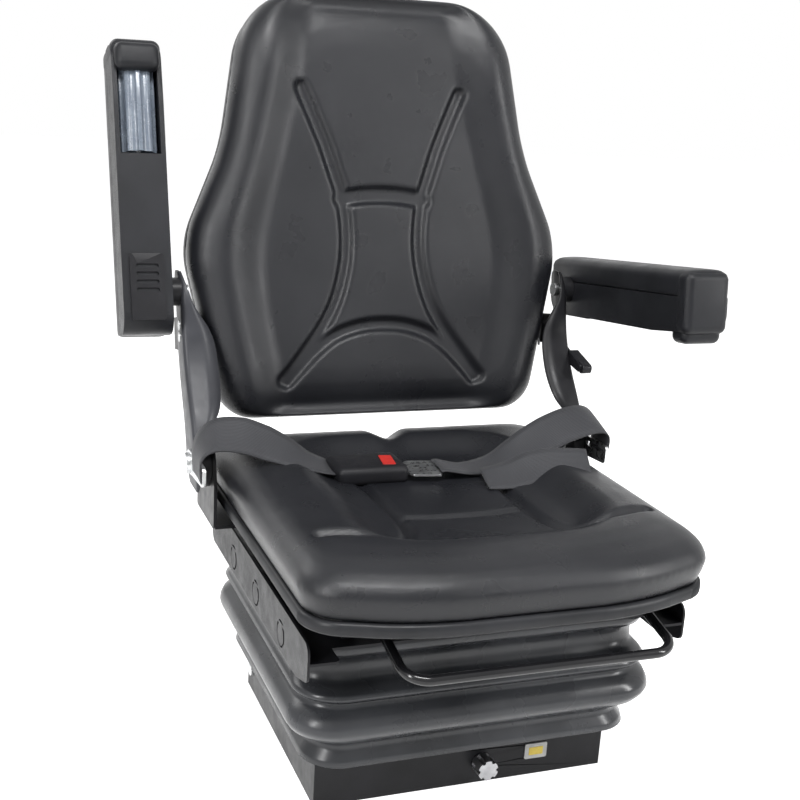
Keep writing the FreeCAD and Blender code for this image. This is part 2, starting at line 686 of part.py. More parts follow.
def skirt():
    """Moulded ring round the upper frame, with a side panel hanging past the bellows on each side."""
    body = new_body("skirt")
    ring = new_sketch(body, "XY_Plane", "frame_top - ring_thick")
    inside = "base_width / 2 + bellows_clear / 2"
    draw_box(ring, "-skirt_half", "skirt_half", "-ring_front", "skirt_rear", "bellows_corner")
    draw_box(ring, "-(%s)" % inside, inside, "-base_depth / 2 - bellows_clear / 2",
             "base_depth / 2 + bellows_clear / 2")
    pad(ring, "ring_thick")
    corner = new_sketch(body, "XY_Plane", "frame_top - ring_thick")
    draw_box(corner, "skirt_half - bellows_corner", "skirt_half", "-skirt_front", "skirt_rear",
             "skirt_wall * 2")
    pad(corner, "ring_thick")
    panel = new_sketch(body, "YZ_Plane", "skirt_half - skirt_wall")
    draw_outline(panel, [("-skirt_front", "skirt_low + 12", "8"), ("-skirt_front + 40", "skirt_low", "20"),
                         ("skirt_rear", "skirt_low", "12"), ("skirt_rear", "skirt_high", "12"),
                         ("-skirt_front", "skirt_high", "12")])
    pad(panel, "skirt_wall")
    dimple = new_sketch(body, "YZ_Plane", "skirt_half")
    for step in ("-1", "0", "1"):
        middle = "dimple_pitch * %s - dimple_first" % step
        draw_circle(dimple, middle, "dimple_z", "dimple_r")
    cut(dimple, "dimple_depth", back=False)
    knob = new_sketch(body, "YZ_Plane", "skirt_half - dimple_depth")
    for step in ("-1", "0", "1"):
        middle = "dimple_pitch * %s - dimple_first + 2" % step
        draw_circle(knob, middle, "dimple_z - 2", "dimple_r - 3")
    pad(knob, "dimple_depth * 0.9")
    mirror_body(body)
    return body


# Fore and aft rails


def slide_rails_lower():
    body = new_body("slide_rails_lower")
    left, right = "rail_x - rail_width / 2", "rail_x + rail_width / 2"
    top = "frame_top + rail_low_height"
    profile = new_sketch(body, "XZ_Plane", "-rail_low_length / 2")
    draw_outline(profile, [
        (left, "frame_top", "rail_steel"), (right, "frame_top", "rail_steel"), (right, top, "rail_steel"),
        (right + " - rail_lip", top), (right + " - rail_lip", top + " - rail_steel"),
        (right + " - rail_steel", top + " - rail_steel"),
        (right + " - rail_steel", "frame_top + rail_steel"),
        (left + " + rail_steel", "frame_top + rail_steel"), (left + " + rail_steel", top + " - rail_steel"),
        (left + " + rail_lip", top + " - rail_steel"), (left + " + rail_lip", top),
        (left, top, "rail_steel")])
    pad(profile, "rail_low_length")
    mirror_body(body)
    return body


def slide_rails_upper():
    """The runner inside each lower rail: foot, stem and the head that carries the pan."""
    body = new_body("slide_rails_upper")
    lip_under = "frame_top + rail_low_height - rail_steel - rail_gap"
    foot_half = "rail_width / 2 - rail_steel - rail_gap"
    head_low = "frame_top + rail_low_height + rail_gap"
    outline = [(foot_half, "frame_top + rail_steel + rail_gap"), (foot_half, lip_under),
               ("rail_stem_half", lip_under), ("rail_stem_half", head_low),
               ("rail_head_half", head_low), ("rail_head_half", "pan_bottom")]
    right = [("rail_x + " + x, y) for x, y in outline]
    left = [("rail_x - (%s)" % x, y) for x, y in reversed(outline)]
    profile = new_sketch(body, "XZ_Plane", "-rail_up_rear")
    draw_outline(profile, right + left)
    pad(profile, "rail_up_front + rail_up_rear")
    mirror_body(body)
    return body


# Pan, trim and seat cushion


def plan_outline(grow, front_grow="0"):
    """The seat's plan: a bowed nose, rounded front corners and a plainer rear."""
    half = "seat_half + %s" % grow
    nose = "-seat_front - (%s) - (%s)" % (grow, front_grow)
    side = "-seat_side_front - (%s) - (%s)" % (grow, front_grow)
    right = [(half, "seat_rear + (%s)" % grow, "seat_rear_corner + (%s) / 2" % grow)]
    nose_half = "seat_nose_half"
    return [(nose_half, nose, "seat_nose_r"), (half, side, "seat_corner + (%s) / 2" % grow)] + right + [
        ("-(%s)" % half, right[0][1], right[0][2]),
        ("-(%s)" % half, side, "seat_corner + (%s) / 2" % grow), ("-(%s)" % nose_half, nose, "seat_nose_r")]


def seat_pan():
    """Pressed pan under the cushion, with an upstand all round and a drain opening."""
    body = new_body("seat_pan")
    base = new_sketch(body, "XY_Plane", "pan_bottom")
    draw_box(base, "-pan_half", "pan_half", "-pan_front", "pan_rear", "pan_corner")
    pad(base, "pan_top - pan_bottom")
    hollow = new_sketch(body, "XY_Plane", "pan_bottom + pan_wall")
    inner = "pan_half - pan_wall"
    draw_box(hollow, "-(%s)" % inner, inner, "-pan_front + pan_wall", "pan_rear - pan_wall",
             "pan_corner - pan_wall")
    cut(hollow, "pan_top - pan_bottom", back=True)
    opening = new_sketch(body, "XY_Plane", "pan_bottom - 1")
    draw_box(opening, "-pan_half / 2", "pan_half / 2", "-pan_rear / 2", "pan_rear / 3", "pan_corner / 2")
    cut(opening, "pan_wall + 2", back=True)
    return body


def edge_trim():
    """The ribbed welt band round the lower edge of the seat cushion."""
    body = new_body("edge_trim")
    band = new_sketch(body, "XY_Plane", "trim_low")
    draw_outline(band, plan_outline("0"))
    draw_outline(band, plan_outline("-trim_wide"))
    pad(band, "trim_high - trim_low")
    return body


def seat_cushion():
    """Moulded cushion: bulged sides, a rounded top edge and a shallow dish to sit in."""
    body = new_body("seat_cushion")
    inside = "-trim_wide - cushion_gap"
    levels = [
        ("cushion_low", (inside, "0")),
        ("trim_high + 1", (inside, "0")),
        ("trim_high + 9", ("-1", "0")),
        ("cushion_mid", ("4", "0")),
        ("cushion_mid + 12", ("-2", "-2")),
        ("cushion_top - 6", ("-14", "-6")),
        ("cushion_top", ("-34", "-12")),
    ]
    stack(body, "XY_Plane", levels, plan_outline)
    dish_levels = []
    for height, inset in (("cushion_top - dish_depth", "30"), ("cushion_top - dish_depth / 2", "12"),
                          ("cushion_top + 1", "0")):
        dish_levels.append((height, (inset,)))

    def dish_outline(shrink):
        half = "seat_half - dish_side - " + shrink
        return [("-(%s)" % half, "-seat_front + dish_front + " + shrink, "dish_corner"),
                (half, "-seat_front + dish_front + " + shrink, "dish_corner"),
                (half, "seat_rear - dish_rear - " + shrink, "dish_corner"),
                ("-(%s)" % half, "seat_rear - dish_rear - " + shrink, "dish_corner")]
    stack(body, "XY_Plane", dish_levels, dish_outline, cutting=True)
    return body


# Recline hinge and seat brackets


def side_named(name, side):
    return "%s_%s" % (name, "left" if side > 0 else "right")


def signed(side, rule):
    return rule if side > 0 else "-(%s)" % rule


def side_plate(body, side, start, thick, outline, holes=()):
    """A plate in a side plane, from the inner face outwards, with its holes."""
    sketch = new_sketch(body, "YZ_Plane", signed(side, start))
    draw_outline(sketch, outline)
    for hole in holes:
        draw_circle(sketch, *hole)
    return pad(sketch, thick, back=side < 0)


def hinge_brackets():
    """Bracket bolted under the pan that carries the recline hinge beside the cushion."""
    body = new_body("hinge_brackets")
    side_plate(body, 1, "bracket_x", "plate", [
        ("bracket_front", "pan_bottom - plate", "plate"), ("bracket_rear", "pan_bottom - plate", "plate"),
        ("bracket_rear", "hinge_z - 20", "12"),
        ("hinge_y + hinge_boss_r", "hinge_z + hinge_boss_r", "hinge_boss_r * 0.9"),
        ("hinge_y - hinge_boss_r", "hinge_z + hinge_boss_r", "hinge_boss_r * 0.9"),
        ("bracket_front", "hinge_z - 20", "12")],
        [("hinge_y", "hinge_z", "hinge_bolt_r + shaft_gap")])
    foot = new_sketch(body, "XY_Plane", "pan_bottom - plate")
    draw_box(foot, "rail_x + rail_head_half + 1", "bracket_x + plate / 2", "bracket_front", "bracket_rear")
    pad(foot, "plate")
    mirror_body(body)
    return body


def recliner_discs():
    """The latching disc pack between bracket and side arm."""
    body = new_body("recliner_discs")
    start = new_sketch(body, "YZ_Plane", "bracket_x + plate + disc_gap")
    draw_circle(start, "hinge_y", "hinge_z", "disc_r")
    draw_circle(start, "hinge_y", "hinge_z", "hinge_bolt_r + shaft_gap")
    pad(start, "arm_x - bracket_x - plate - disc_gap")
    mirror_body(body)
    return body


def hinge_bolts():
    body = new_body("hinge_bolts")
    shank = new_sketch(body, "YZ_Plane", "bracket_x - 3")
    draw_circle(shank, "hinge_y", "hinge_z", "hinge_bolt_r")
    pad(shank, "anchor_x + 4 - bracket_x")
    head = new_sketch(body, "YZ_Plane", "anchor_x")
    draw_circle(head, "hinge_y", "hinge_z", "hinge_bolt_r * 1.8")
    pad(head, "5")
    nut = new_sketch(body, "YZ_Plane", "bracket_x")
    draw_circle(nut, "hinge_y", "hinge_z", "hinge_bolt_r * 1.5")
    pad(nut, "3", back=True)
    mirror_body(body)
    return body


def side_arm(side):
    """Pressed arm from the recline hinge up to the armrest hinge, with an in-turned front flange."""
    outline = [
        ("hinge_y - arm_boss_r", "hinge_z - arm_boss_r", "arm_boss_r * 0.9"),
        ("hinge_y + arm_boss_r", "hinge_z - arm_boss_r", "arm_boss_r * 0.9"),
        ("hinge_y + arm_boss_r + 4", "hinge_z + 10", "30"),
        ("rest_pivot_y + 4", "rest_pivot_z - 80", "60"),
        ("rest_pivot_y + arm_top_r + 2", "rest_pivot_z + arm_top_r", "arm_top_r * 0.9"),
        ("rest_pivot_y - arm_top_r", "rest_pivot_z + arm_top_r", "arm_top_r * 0.9"),
        ("rest_pivot_y - 47", "rest_pivot_z - 50", "30"),
        ("hinge_y + 12", "hinge_z + 74", "40"),
        ("hinge_y - arm_boss_r + 1", "hinge_z + 18", "20")]
    flat = rounded_wire(outline, 0, False)
    plate = Part.Face(flat).extrude(Vector(0, 0, size("plate")))
    front = [(y, z) for y, z, radius in outline[6:8]]
    for y, z, radius in (("hinge_y", "hinge_z", "hinge_bolt_r"),
                         ("rest_pivot_y", "rest_pivot_z", "rest_bolt_r")):
        middle = Vector(size(y), size(z), -1)
        hole = Part.makeCylinder(size(radius + " + shaft_gap"), size("plate + 2"), middle)
        plate = plate.cut(hole)
    flange = arm_flange(front)
    shape = plate.fuse(flange).removeSplitter()
    shape.Placement = FreeCAD.Placement(Vector(size("arm_x"), 0, 0), FreeCAD.Rotation(Vector(1, 1, 1), 120))
    if side < 0:
        shape = shape.mirror(Vector(), Vector(1, 0, 0))
    return feature_shape(side_named("side_arm", side), shape)


def arm_flange(front):
    """The in-turned front edge: it follows the arm's front line and widens towards the top."""
    (top_y, top_z), (low_y, low_z) = front
    top, low = Vector(size(top_y), size(top_z), 0), Vector(size(low_y), size(low_z), 0)
    along = (top - low).normalize()
    back = Vector(along.y, -along.x, 0)
    start, end = low + along * 4, top - along * 10
    wide = size("arm_flange_wide")
    face = [start, end, end - Vector(0, 0, wide), start + (end - start) * 0.35 - Vector(0, 0, wide * 0.55),
            start - Vector(0, 0, wide * 0.3)]
    return Part.Face(Part.makePolygon(face + face[:1])).extrude(back * size("plate"))


# Backrest


def back_outline(inset, end_inset=None):
    """The backrest seen from the front: wide at the ribs, drawn in at the waist and at the top."""
    end = inset if end_inset is None else end_inset
    right = [("back_bottom_half - (%s)" % inset, end, "back_corner"),
             ("back_half - (%s)" % inset, "back_wide_at", "back_wide_r"),
             ("back_waist_half - (%s)" % inset, "back_waist_at", "back_waist_r"),
             ("back_top_half - (%s)" % inset, "back_height - (%s)" % end, "back_top_r * 0.8")]
    left = [("-(%s)" % x, y, r) for x, y, r in reversed(right)]
    return right + left


def tilt_back(body):
    place(body, y="back_y", z="back_z", tilt="-back_lean")


def backrest_cushion():
    """Moulded backrest cushion: soft front edge, bolsters at the sides and a dish between them."""
    levels = [
        ("-back_rear", ("rim * 2", "rim * 2")),
        ("back_lip - back_rear", ("rim * 2", "rim * 2")),
        ("back_lip - back_rear + 2", ("1", "1")),
        ("-back_rear / 5", ("0", "0")),
        ("back_front - 17", ("4", "4")),
        ("back_front - 8", ("12", "12")),
        ("back_front - 2", ("24", "24")),
        ("back_front", ("34", "34")),
    ]
    dish = [("back_front - back_dish", ("back_dish_side + 24", "back_dish_end + 24")),
            ("back_front - back_dish / 2", ("back_dish_side + 9", "back_dish_end + 9")),
            ("back_front + 1", ("back_dish_side", "back_dish_end"))]
    body = moulding("backrest_cushion", back_outline, levels, [dish], upright=True)
    tilt_back(body)
    return body


def backrest_shell():
    """Moulded rear shell: a rim round the back of the cushion, a hollow behind it and vent slots."""
    rim_front = "back_lip - back_rear - 0.4"
    levels = [
        ("-back_rear - shell_thick", ("shell_inset * 2", "shell_inset * 2")),
        ("-back_rear - shell_thick * 0.7", ("shell_inset", "shell_inset")),
        ("-back_rear", ("rim", "rim")),
        (rim_front, ("rim * 0.7", "rim * 0.7")),
    ]
    seat = [("-back_rear - 0.2", ("rim * 2 - 0.2", "rim * 2 - 0.2")),
            (rim_front + " + 1", ("rim * 2 - 0.2", "rim * 2 - 0.2"))]
    hollow = [("-back_rear - shell_thick + rim", ("shell_inset * 2 + rim", "shell_inset * 2 + rim")),
              ("-back_rear - shell_thick * 0.7 + rim / 2", ("shell_inset + rim", "shell_inset + rim")),
              ("-back_rear", ("rim * 3.5", "rim * 3.5"))]
    body = moulding("backrest_shell", back_outline, levels, [seat, hollow], upright=True)
    shape = body.Shape
    for step in range(5):
        slot = Part.makeBox(size("back_waist_half"), size("rim + 6"), size("rim * 3"))
        slot.translate(Vector(-size("back_waist_half / 2"), size("back_rear + shell_thick - rim - 3"),
                              size("back_waist_at - shell_thick * %d" % step)))
        shape = shape.cut(slot)
    body.Shape = shape
    tilt_back(body)
    return body


def back_frame():
    """The strap behind the shell whose wings reach forward to the side arms."""
    body = new_body("back_frame")
    rear = "back_rear + shell_thick"
    inner = "arm_x - strap_thick"
    strap = new_sketch(body, "XY_Plane", "strap_at")
    draw_outline(strap, [("-arm_x", "-strap_front"), ("arm_x", "-strap_front"),
                         ("arm_x", rear + " + strap_thick", "10"),
                         ("-arm_x", rear + " + strap_thick", "10")])
    pad(strap, "strap_high")
    hollow = new_sketch(body, "XY_Plane", "strap_at - 1")
    draw_outline(hollow, [("-(%s)" % inner, "-strap_front - 1"), (inner, "-strap_front - 1"),
                          (inner, rear, "6"), ("-(%s)" % inner, rear, "6")])
    cut(hollow, "strap_high + 2", back=True)
    tilt_back(body)
    return body


def arm_screws():
    """Four screws with flat heads that hold the side arms on the wings of the back frame."""
    body = new_body("arm_screws")
    head = new_sketch(body, "YZ_Plane", "arm_x + plate")
    for height in ("strap_at + strap_high * 0.45", "strap_at + strap_high * 0.8"):
        draw_circle(head, "strap_front + 5", height, "6")
    pad(head, "2.5")
    mirror_body(body)
    tilt_back(body)
    return body


def return_spring():
    """Hairpin spring beside the backrest, on the wing of the back frame."""
    near, far = "hairpin_x - 6", "arm_x - strap_thick - hairpin_wire / 2"
    depth = size("rest_pivot_y + 26")
    path = [(near, "lever_z - 24"), (near, "lever_z + 26", "hairpin_wire"),
            (far, "lever_z + 26", "hairpin_wire"), (far, "lever_z - 6")]
    return bent_rod("return_spring", path, "hairpin_wire / 2", lambda p: Vector(p.x, depth, p.y))


def recliner_lever():
    """Cranked lever with a grip, on the outer face of the sitter's left side arm."""
    body = new_body("recliner_lever")
    blade = new_sketch(body, "YZ_Plane", "arm_x + plate + disc_gap")
    draw_outline(blade, [("lever_boss_r", "-lever_boss_r", "lever_boss_r * 0.8"),
                         ("lever_boss_r", "lever_boss_r", "lever_boss_r * 0.8"),
                         ("-lever_reach", "5", "3"), ("-lever_reach", "-5", "3")])
    draw_circle(blade, "0", "0", "lever_pin_r + shaft_gap")
    pad(blade, "3")
    grip = new_sketch(body, "YZ_Plane", "arm_x + plate + 3")
    draw_outline(grip, [("-lever_reach * 0.3", "-7", "4"), ("-lever_reach * 0.3", "7", "4"),
                        ("-lever_reach - 5", "6", "5"), ("-lever_reach - 5", "-6", "5")])
    pad(grip, "lever_grip")
    place(body, y="lever_y", z="lever_z", tilt="lever_tilt")
    return body


def lever_pin():
    body = new_body("lever_pin")
    shank = new_sketch(body, "YZ_Plane", "arm_x + plate")
    draw_circle(shank, "lever_y", "lever_z", "lever_pin_r")
    pad(shank, "3.5")
    head = new_sketch(body, "YZ_Plane", "arm_x + plate + 3.5")
    draw_circle(head, "lever_y", "lever_z", "lever_pin_r * 1.7")
    pad(head, "1.8")
    return body


# Armrests


def rest_corners(side):
    """Inner and outer side of one armrest as rules, low one first."""
    inner, outer = signed(side, "rest_in"), signed(side, "rest_in + rest_width")
    return (inner, outer) if side > 0 else (outer, inner)


def rest_place(body, side):
    place(body, y="rest_pivot_y", z="rest_pivot_z", tilt="-rest_down" if side > 0 else "-rest_up")


def armrest_housing(side):
    """Lower half of the armrest: wheel chamber open below, axle bores and the hinge bore."""
    body = new_body(side_named("armrest_housing", side))
    rear = "rest_pivot_t"
    front = "rest_pivot_t - rest_length"
    low = "-rest_pivot_h"
    top = "housing_height - rest_pivot_h"
    side_plate(body, side, "rest_in", "rest_width", [
        (rear, low, "rest_corner * 1.8"), (rear, top, "3"), (front, top, "3"),
        (front, low + " + 4", "rest_corner * 1.5"), (front + " + 70", low, "60")])
    middle = signed(side, "rest_in + rest_width / 2")
    wheel_y = "wheel_t - rest_pivot_t"
    wheel_z = "wheel_h - rest_pivot_h"
    room = "wheel_r + wheel_room / 2"
    chamber = new_sketch(body, "XZ_Plane", wheel_y + " - wheel_length / 2 - wheel_room")
    draw_box(chamber, "%s - (%s)" % (middle, room), "%s + %s" % (middle, room), low + " - 1", wheel_z)
    cut(chamber, "wheel_length + 2 * wheel_room", back=True)
    crown = new_sketch(body, "XZ_Plane", wheel_y + " - wheel_length / 2 - wheel_room")
    draw_circle(crown, middle, wheel_z, room)
    cut(crown, "wheel_length + 2 * wheel_room", back=True)
    bore = new_sketch(body, "XZ_Plane", wheel_y + " - wheel_length / 2 - wheel_room - 8")
    draw_circle(bore, middle, wheel_z, "wheel_axle_r + shaft_gap / 2")
    cut(bore, "wheel_length + 2 * wheel_room + 16", back=True)
    pivot = new_sketch(body, "YZ_Plane", signed(side, "rest_in - 1"))
    draw_circle(pivot, "0", "0", "rest_bolt_r + shaft_gap")
    cut(pivot, "rest_width / 2 + 3", back=side > 0)
    rest_place(body, side)
    return body


def armrest_pad(side):
    """Soft upper half of the armrest, rounded along its top edges and at its front."""
    body = new_body(side_named("armrest_pad", side))
    rear = "rest_pivot_t"
    front = "rest_pivot_t - rest_length"
    low = "housing_height - rest_pivot_h"
    top = "rest_height - rest_pivot_h"
    inner, outer = rest_corners(side)
    section = new_sketch(body, "XZ_Plane", "-(%s)" % rear)
    draw_outline(section, [(inner, low, "1"), (outer, low, "1"), (outer, top, "rest_corner * 0.7"),
                           (inner, top, "rest_corner * 0.7")])
    pad(section, "rest_length")
    nose = new_sketch(body, "YZ_Plane")
    draw_outline(nose, [(front + " - 1", top + " - 9"), (front + " + 12", top + " + 1"),
                        (front + " - 1", top + " + 1")])
    cut(nose)
    rest_place(body, side)
    return body


def armrest_wheel(side):
    """Fluted roller at the front of the armrest, turned about an axle that runs lengthwise."""
    body = new_body(side_named("armrest_wheel", side))
    middle = signed(side, "rest_in + rest_width / 2")
    wheel_z = "wheel_h - rest_pivot_h"
    sketch = new_sketch(body, "XZ_Plane", "wheel_t - rest_pivot_t - wheel_length / 2")
    draw_circle(sketch, middle, wheel_z, "wheel_r")
    draw_circle(sketch, middle, wheel_z, "wheel_axle_r + shaft_gap")
    pad(sketch, "wheel_length")
    flutes = new_sketch(body, "XZ_Plane", "wheel_t - rest_pivot_t - wheel_length / 2 - 1")
    count = int(size("wheel_flutes"))
    for step in range(count):
        angle = "(360 * %d / wheel_flutes)" % step
        draw_circle(flutes, "%s + (wheel_r + wheel_flute_r / 2) * cos%s" % (middle, angle),
                    "%s + (wheel_r + wheel_flute_r / 2) * sin%s" % (wheel_z, angle), "wheel_flute_r")
    cut(flutes, "wheel_length + 2", back=True)
    rest_place(body, side)
    return body


def armrest_axle(side):
    body = new_body(side_named("armrest_axle", side))
    middle = signed(side, "rest_in + rest_width / 2")
    sketch = new_sketch(body, "XZ_Plane", "wheel_t - rest_pivot_t - wheel_length / 2 - wheel_room - 6")
    draw_circle(sketch, middle, "wheel_h - rest_pivot_h", "wheel_axle_r")
    pad(sketch, "wheel_length + 2 * wheel_room + 12")
    rest_place(body, side)
    return body


def armrest_cover(side):
    """Slotted cover under the hinge end of the armrest."""
    body = new_body(side_named("armrest_cover", side))
    middle = signed(side, "rest_in + rest_width / 2")
    rear = "rest_pivot_t - cover_t + cover_length / 2 - 6"
    sketch = new_sketch(body, "XY_Plane", "-rest_pivot_h - cover_thick")
    draw_box(sketch, middle + " - cover_width / 2", middle + " + cover_width / 2",
             rear + " - cover_length", rear, "3")
    for step in range(4):
        draw_slot(sketch, middle + " - cover_width / 3", middle + " + cover_width / 3",
                  rear + " - cover_length * 0.45 - cover_length * 0.12 * %d" % step, "cover_thick")
    pad(sketch, "cover_thick")
    rest_place(body, side)
    return body


def armrest_bolts():
    """Hinge bolt of the armrest with its black spacer shoulder, fixed in the side arm."""
    body = new_body("armrest_bolts")
    shank = new_sketch(body, "YZ_Plane", "arm_x - 6")
    draw_circle(shank, "rest_pivot_y", "rest_pivot_z", "rest_bolt_r")
    pad(shank, "rest_in + rest_width / 2 - arm_x + 6")
    nut = new_sketch(body, "YZ_Plane", "arm_x - 6")
    draw_circle(nut, "rest_pivot_y", "rest_pivot_z", "rest_bolt_r * 1.7")
    pad(nut, "6")
    mirror_body(body)
    return body


def armrest_spacers():
    body = new_body("armrest_spacers")
    sketch = new_sketch(body, "YZ_Plane", "arm_x + plate")
    draw_circle(sketch, "rest_pivot_y", "rest_pivot_z", "spacer_r")
    draw_circle(sketch, "rest_pivot_y", "rest_pivot_z", "rest_bolt_r + shaft_gap / 2")
    pad(sketch, "rest_in - arm_x - plate - disc_gap")
    mirror_body(body)
    return body


# Slide release bar


def slide_handle():
    """Bent bar across the front, on a pin at each rail."""
    reach = "sqrt((bar_y - bar_pivot_y) ^ 2 + (bar_pivot_z - bar_z) ^ 2)"
    path = [("bar_left", "0"), ("bar_left", "-(%s)" % reach, "bar_bend"),
            ("-bar_right", "-(%s)" % reach, "bar_bend"), ("-bar_right", "0")]
    part = bent_rod("slide_handle", path, "bar_r", lambda p: p)
    shape = part.Shape
    ahead = Vector(1, 0, 0)
    for middle in ("bar_left", "-bar_right"):
        start = Vector(size(middle + " - bar_r"), 0, 0)
        shape = shape.fuse(Part.makeCylinder(size("bar_r + 1"), size("2 * bar_r"), start, ahead))
    start = -ahead * size("base_width")
    hole = Part.makeCylinder(size("bar_pin_r + shaft_gap"), size("base_width * 2"), start, ahead)
    part.Shape = shape.cut(hole)
    place(part, y="-bar_pivot_y", z="bar_pivot_z",
          tilt="atan((bar_pivot_z - bar_z) / (bar_y - bar_pivot_y))")
    return part


def handle_pins():
    body = new_body("handle_pins")
    for start, end in (("rail_x + rail_head_half", "bar_left + bar_r + 2"),
                       ("-rail_x + rail_head_half", "-bar_right + bar_r + 2")):
        pin = new_sketch(body, "YZ_Plane", start)
        draw_circle(pin, "-bar_pivot_y", "bar_pivot_z", "bar_pin_r")
        pad(pin, "%s - (%s)" % (end, start))
    return body


# Lap belt


def belt_anchors():
    """Steel plate on the recline hinge bolt with the slot that the webbing is looped through."""
    body = new_body("belt_anchors")
    half = "web_width / 2 + 5"
    sketch = new_sketch(body, "YZ_Plane", "anchor_x - anchor_thick - 0.2")
    draw_outline(sketch, [
        ("hinge_y + 15", "hinge_z - 15", "14"), ("hinge_y + 15", "hinge_z + 15", "14"),
        ("anchor_y + " + half, "anchor_z + 11", "4"), ("anchor_y - (%s)" % half, "anchor_z + 11", "6"),
        ("anchor_y - (%s)" % half, "anchor_z - 12", "6"), ("anchor_y + " + half, "anchor_z - 16", "4")])
    draw_circle(sketch, "hinge_y", "hinge_z", "hinge_bolt_r + shaft_gap / 2")
    draw_slot(sketch, "anchor_y - web_width / 2 - 1", "anchor_y + web_width / 2 + 1", "anchor_z + 2", "3")
    pad(sketch, "anchor_thick")
    mirror_body(body)
    return body


def ribbon(name, stations):
    """A strap through stations (x, y, z, lean): centre line, and the width's turn in plan in degrees."""
    sections = []
    points = [Vector(*[size(str(v)) for v in s[:3]]) for s in stations]
    for i, here in enumerate(points):
        ahead = points[min(i + 1, len(points) - 1)] - points[max(i - 1, 0)]
        turn = math.radians(stations[i][3])
        across = Vector(math.sin(turn), math.cos(turn), 0)
        across = (across - ahead * (across.dot(ahead) / ahead.dot(ahead))).normalize()
        out = across.cross(ahead).normalize()
        if out.z < 0 or (abs(out.z) < 1e-3 and out.x * here.x < 0):
            out = -out
        half = across * size("web_width / 2")
        up = out * size("web_thick")
        corners = [here - half, here + half, here + half + up, here - half + up]
        sections.append(Part.makePolygon(corners + corners[:1]))
    return feature_shape(name, Part.makeLoft(sections, True, True))


def lap_belt():
    """The two halves of the webbing and the loose end, laid over the cushion."""
    outer = size("anchor_x")
    top = size("cushion_top + belt_lift")
    floor = size("cushion_top - dish_depth + belt_lift / 3")
    y = size("anchor_y")
    ribbon("belt_webbing_right", [
        (-outer, y, 310, 0), (-outer, y, 333, 0), (-outer + 5, y - 1, 340, 0), (-236, y - 3, 341, 0),
        (-206, y - 6, top + 1, 5), (-180, y - 11, top, 8), (-152, y - 17, top, 9),
        (-132, y - 22, top, 8), (-109, y - 26, 319, 8)])
    ribbon("belt_webbing_left", [
        (outer, y, 310, 0), (outer, y, 333, 0), (outer - 5, y - 1, 340, 0), (236, y - 3, 341, 0),
        (206, y - 6, top + 1, -8), (176, y - 14, top, -14), (142, y - 24, top, -16),
        (128, y - 28, 325, -14), (104, y - 34, floor + 3, -12), (60, y - 41, floor + 1, -6),
        (27, y - 44, 320.8, 5), (19, y - 44, 320.8, 5)])
    ribbon("belt_tail", [
        (62, -14, floor + 2.8, 12), (96, -19, floor + 2.8, 10), (118, -21, floor + 9, 8),
        (144, -27, top + 1, 8), (186, -36, top + 1, 8)])


def buckle_body():
    """Black buckle housing with the tongue's mouth and the well of its button."""
    body = new_body("buckle_body")
    base = new_sketch(body, "XY_Plane")
    draw_box(base, "-buckle_length / 2", "buckle_length / 2", "-buckle_width / 2", "buckle_width / 2", "8")
    pad(base, "buckle_height")
    well = new_sketch(body, "XY_Plane", "buckle_height - button_travel - 4")
    draw_box(well, "buckle_length / 2 - 25", "buckle_length / 2 - 9", "-button_width / 2",
             "button_width / 2", "2")
    cut(well, "button_travel + 5", back=True)
    mouth = new_sketch(body, "YZ_Plane", "buckle_length / 2 - 14")
    middle = "buckle_height / 2"
    draw_box(mouth, "-button_width / 2 - 1", "button_width / 2 + 1", middle + " - tongue_thick",
             middle + " + tongue_thick")
    cut(mouth, "20", back=True)
    set_buckle(body, "cushion_top - dish_depth + 0.3")
    return body


def set_buckle(body, height):
    body.Placement = FreeCAD.Placement(Vector(), FreeCAD.Rotation(Vector(0, 0, 1), 1))
    body.setExpression("Placement.Base.x", linked("-buckle_x"))
    body.setExpression("Placement.Base.y", linked("buckle_y"))
    body.setExpression("Placement.Base.z", linked(height))
    body.setExpression("Placement.Rotation.Angle", linked("-buckle_turn"))
    doc.recompute()


def buckle_button():
    body = new_body("buckle_button")
    sketch = new_sketch(body, "XY_Plane", "buckle_height - 3.5")
    draw_box(sketch, "buckle_length / 2 - 24.7", "buckle_length / 2 - 9.3", "-button_width / 2 + 0.3",
             "button_width / 2 - 0.3", "1.7")
    pad(sketch, "4.2")
    set_buckle(body, "cushion_top - dish_depth + 0.3")
    return body


def belt_tongue():
    """Steel tongue in the buckle's mouth, with the slot for the webbing."""
    body = new_body("belt_tongue")
    sketch = new_sketch(body, "XY_Plane", "buckle_height / 2 - tongue_thick / 2")
    near, far = "buckle_length / 2 - 13", "buckle_length / 2 + tongue_length"
    draw_outline(sketch, [
        (near, "-button_width / 2 + 4", "3"), (near + " + 16", "-button_width / 2 + 4", "3"),
        (near + " + 24", "-web_width / 2 - 3", "4"), (far, "-web_width / 2 - 3", "5"),
        (far, "web_width / 2 + 3", "5"), (near + " + 24", "web_width / 2 + 3", "4"),
        (near + " + 16", "button_width / 2 - 4", "3"), (near, "button_width / 2 - 4", "3")])
    pad(sketch, "tongue_thick")
    set_buckle(body, "cushion_top - dish_depth + 0.3")
    return body


def hinges_of(rise):
    """Height and tilt of a pair of scissor arms hinged at the bottom (rise 0) or at the top (rise 1)."""
    lean = "asin(link_rise / link_length)"
    return ("link_pivot_z + link_rise", lean) if rise else ("link_pivot_z", "-" + lean)


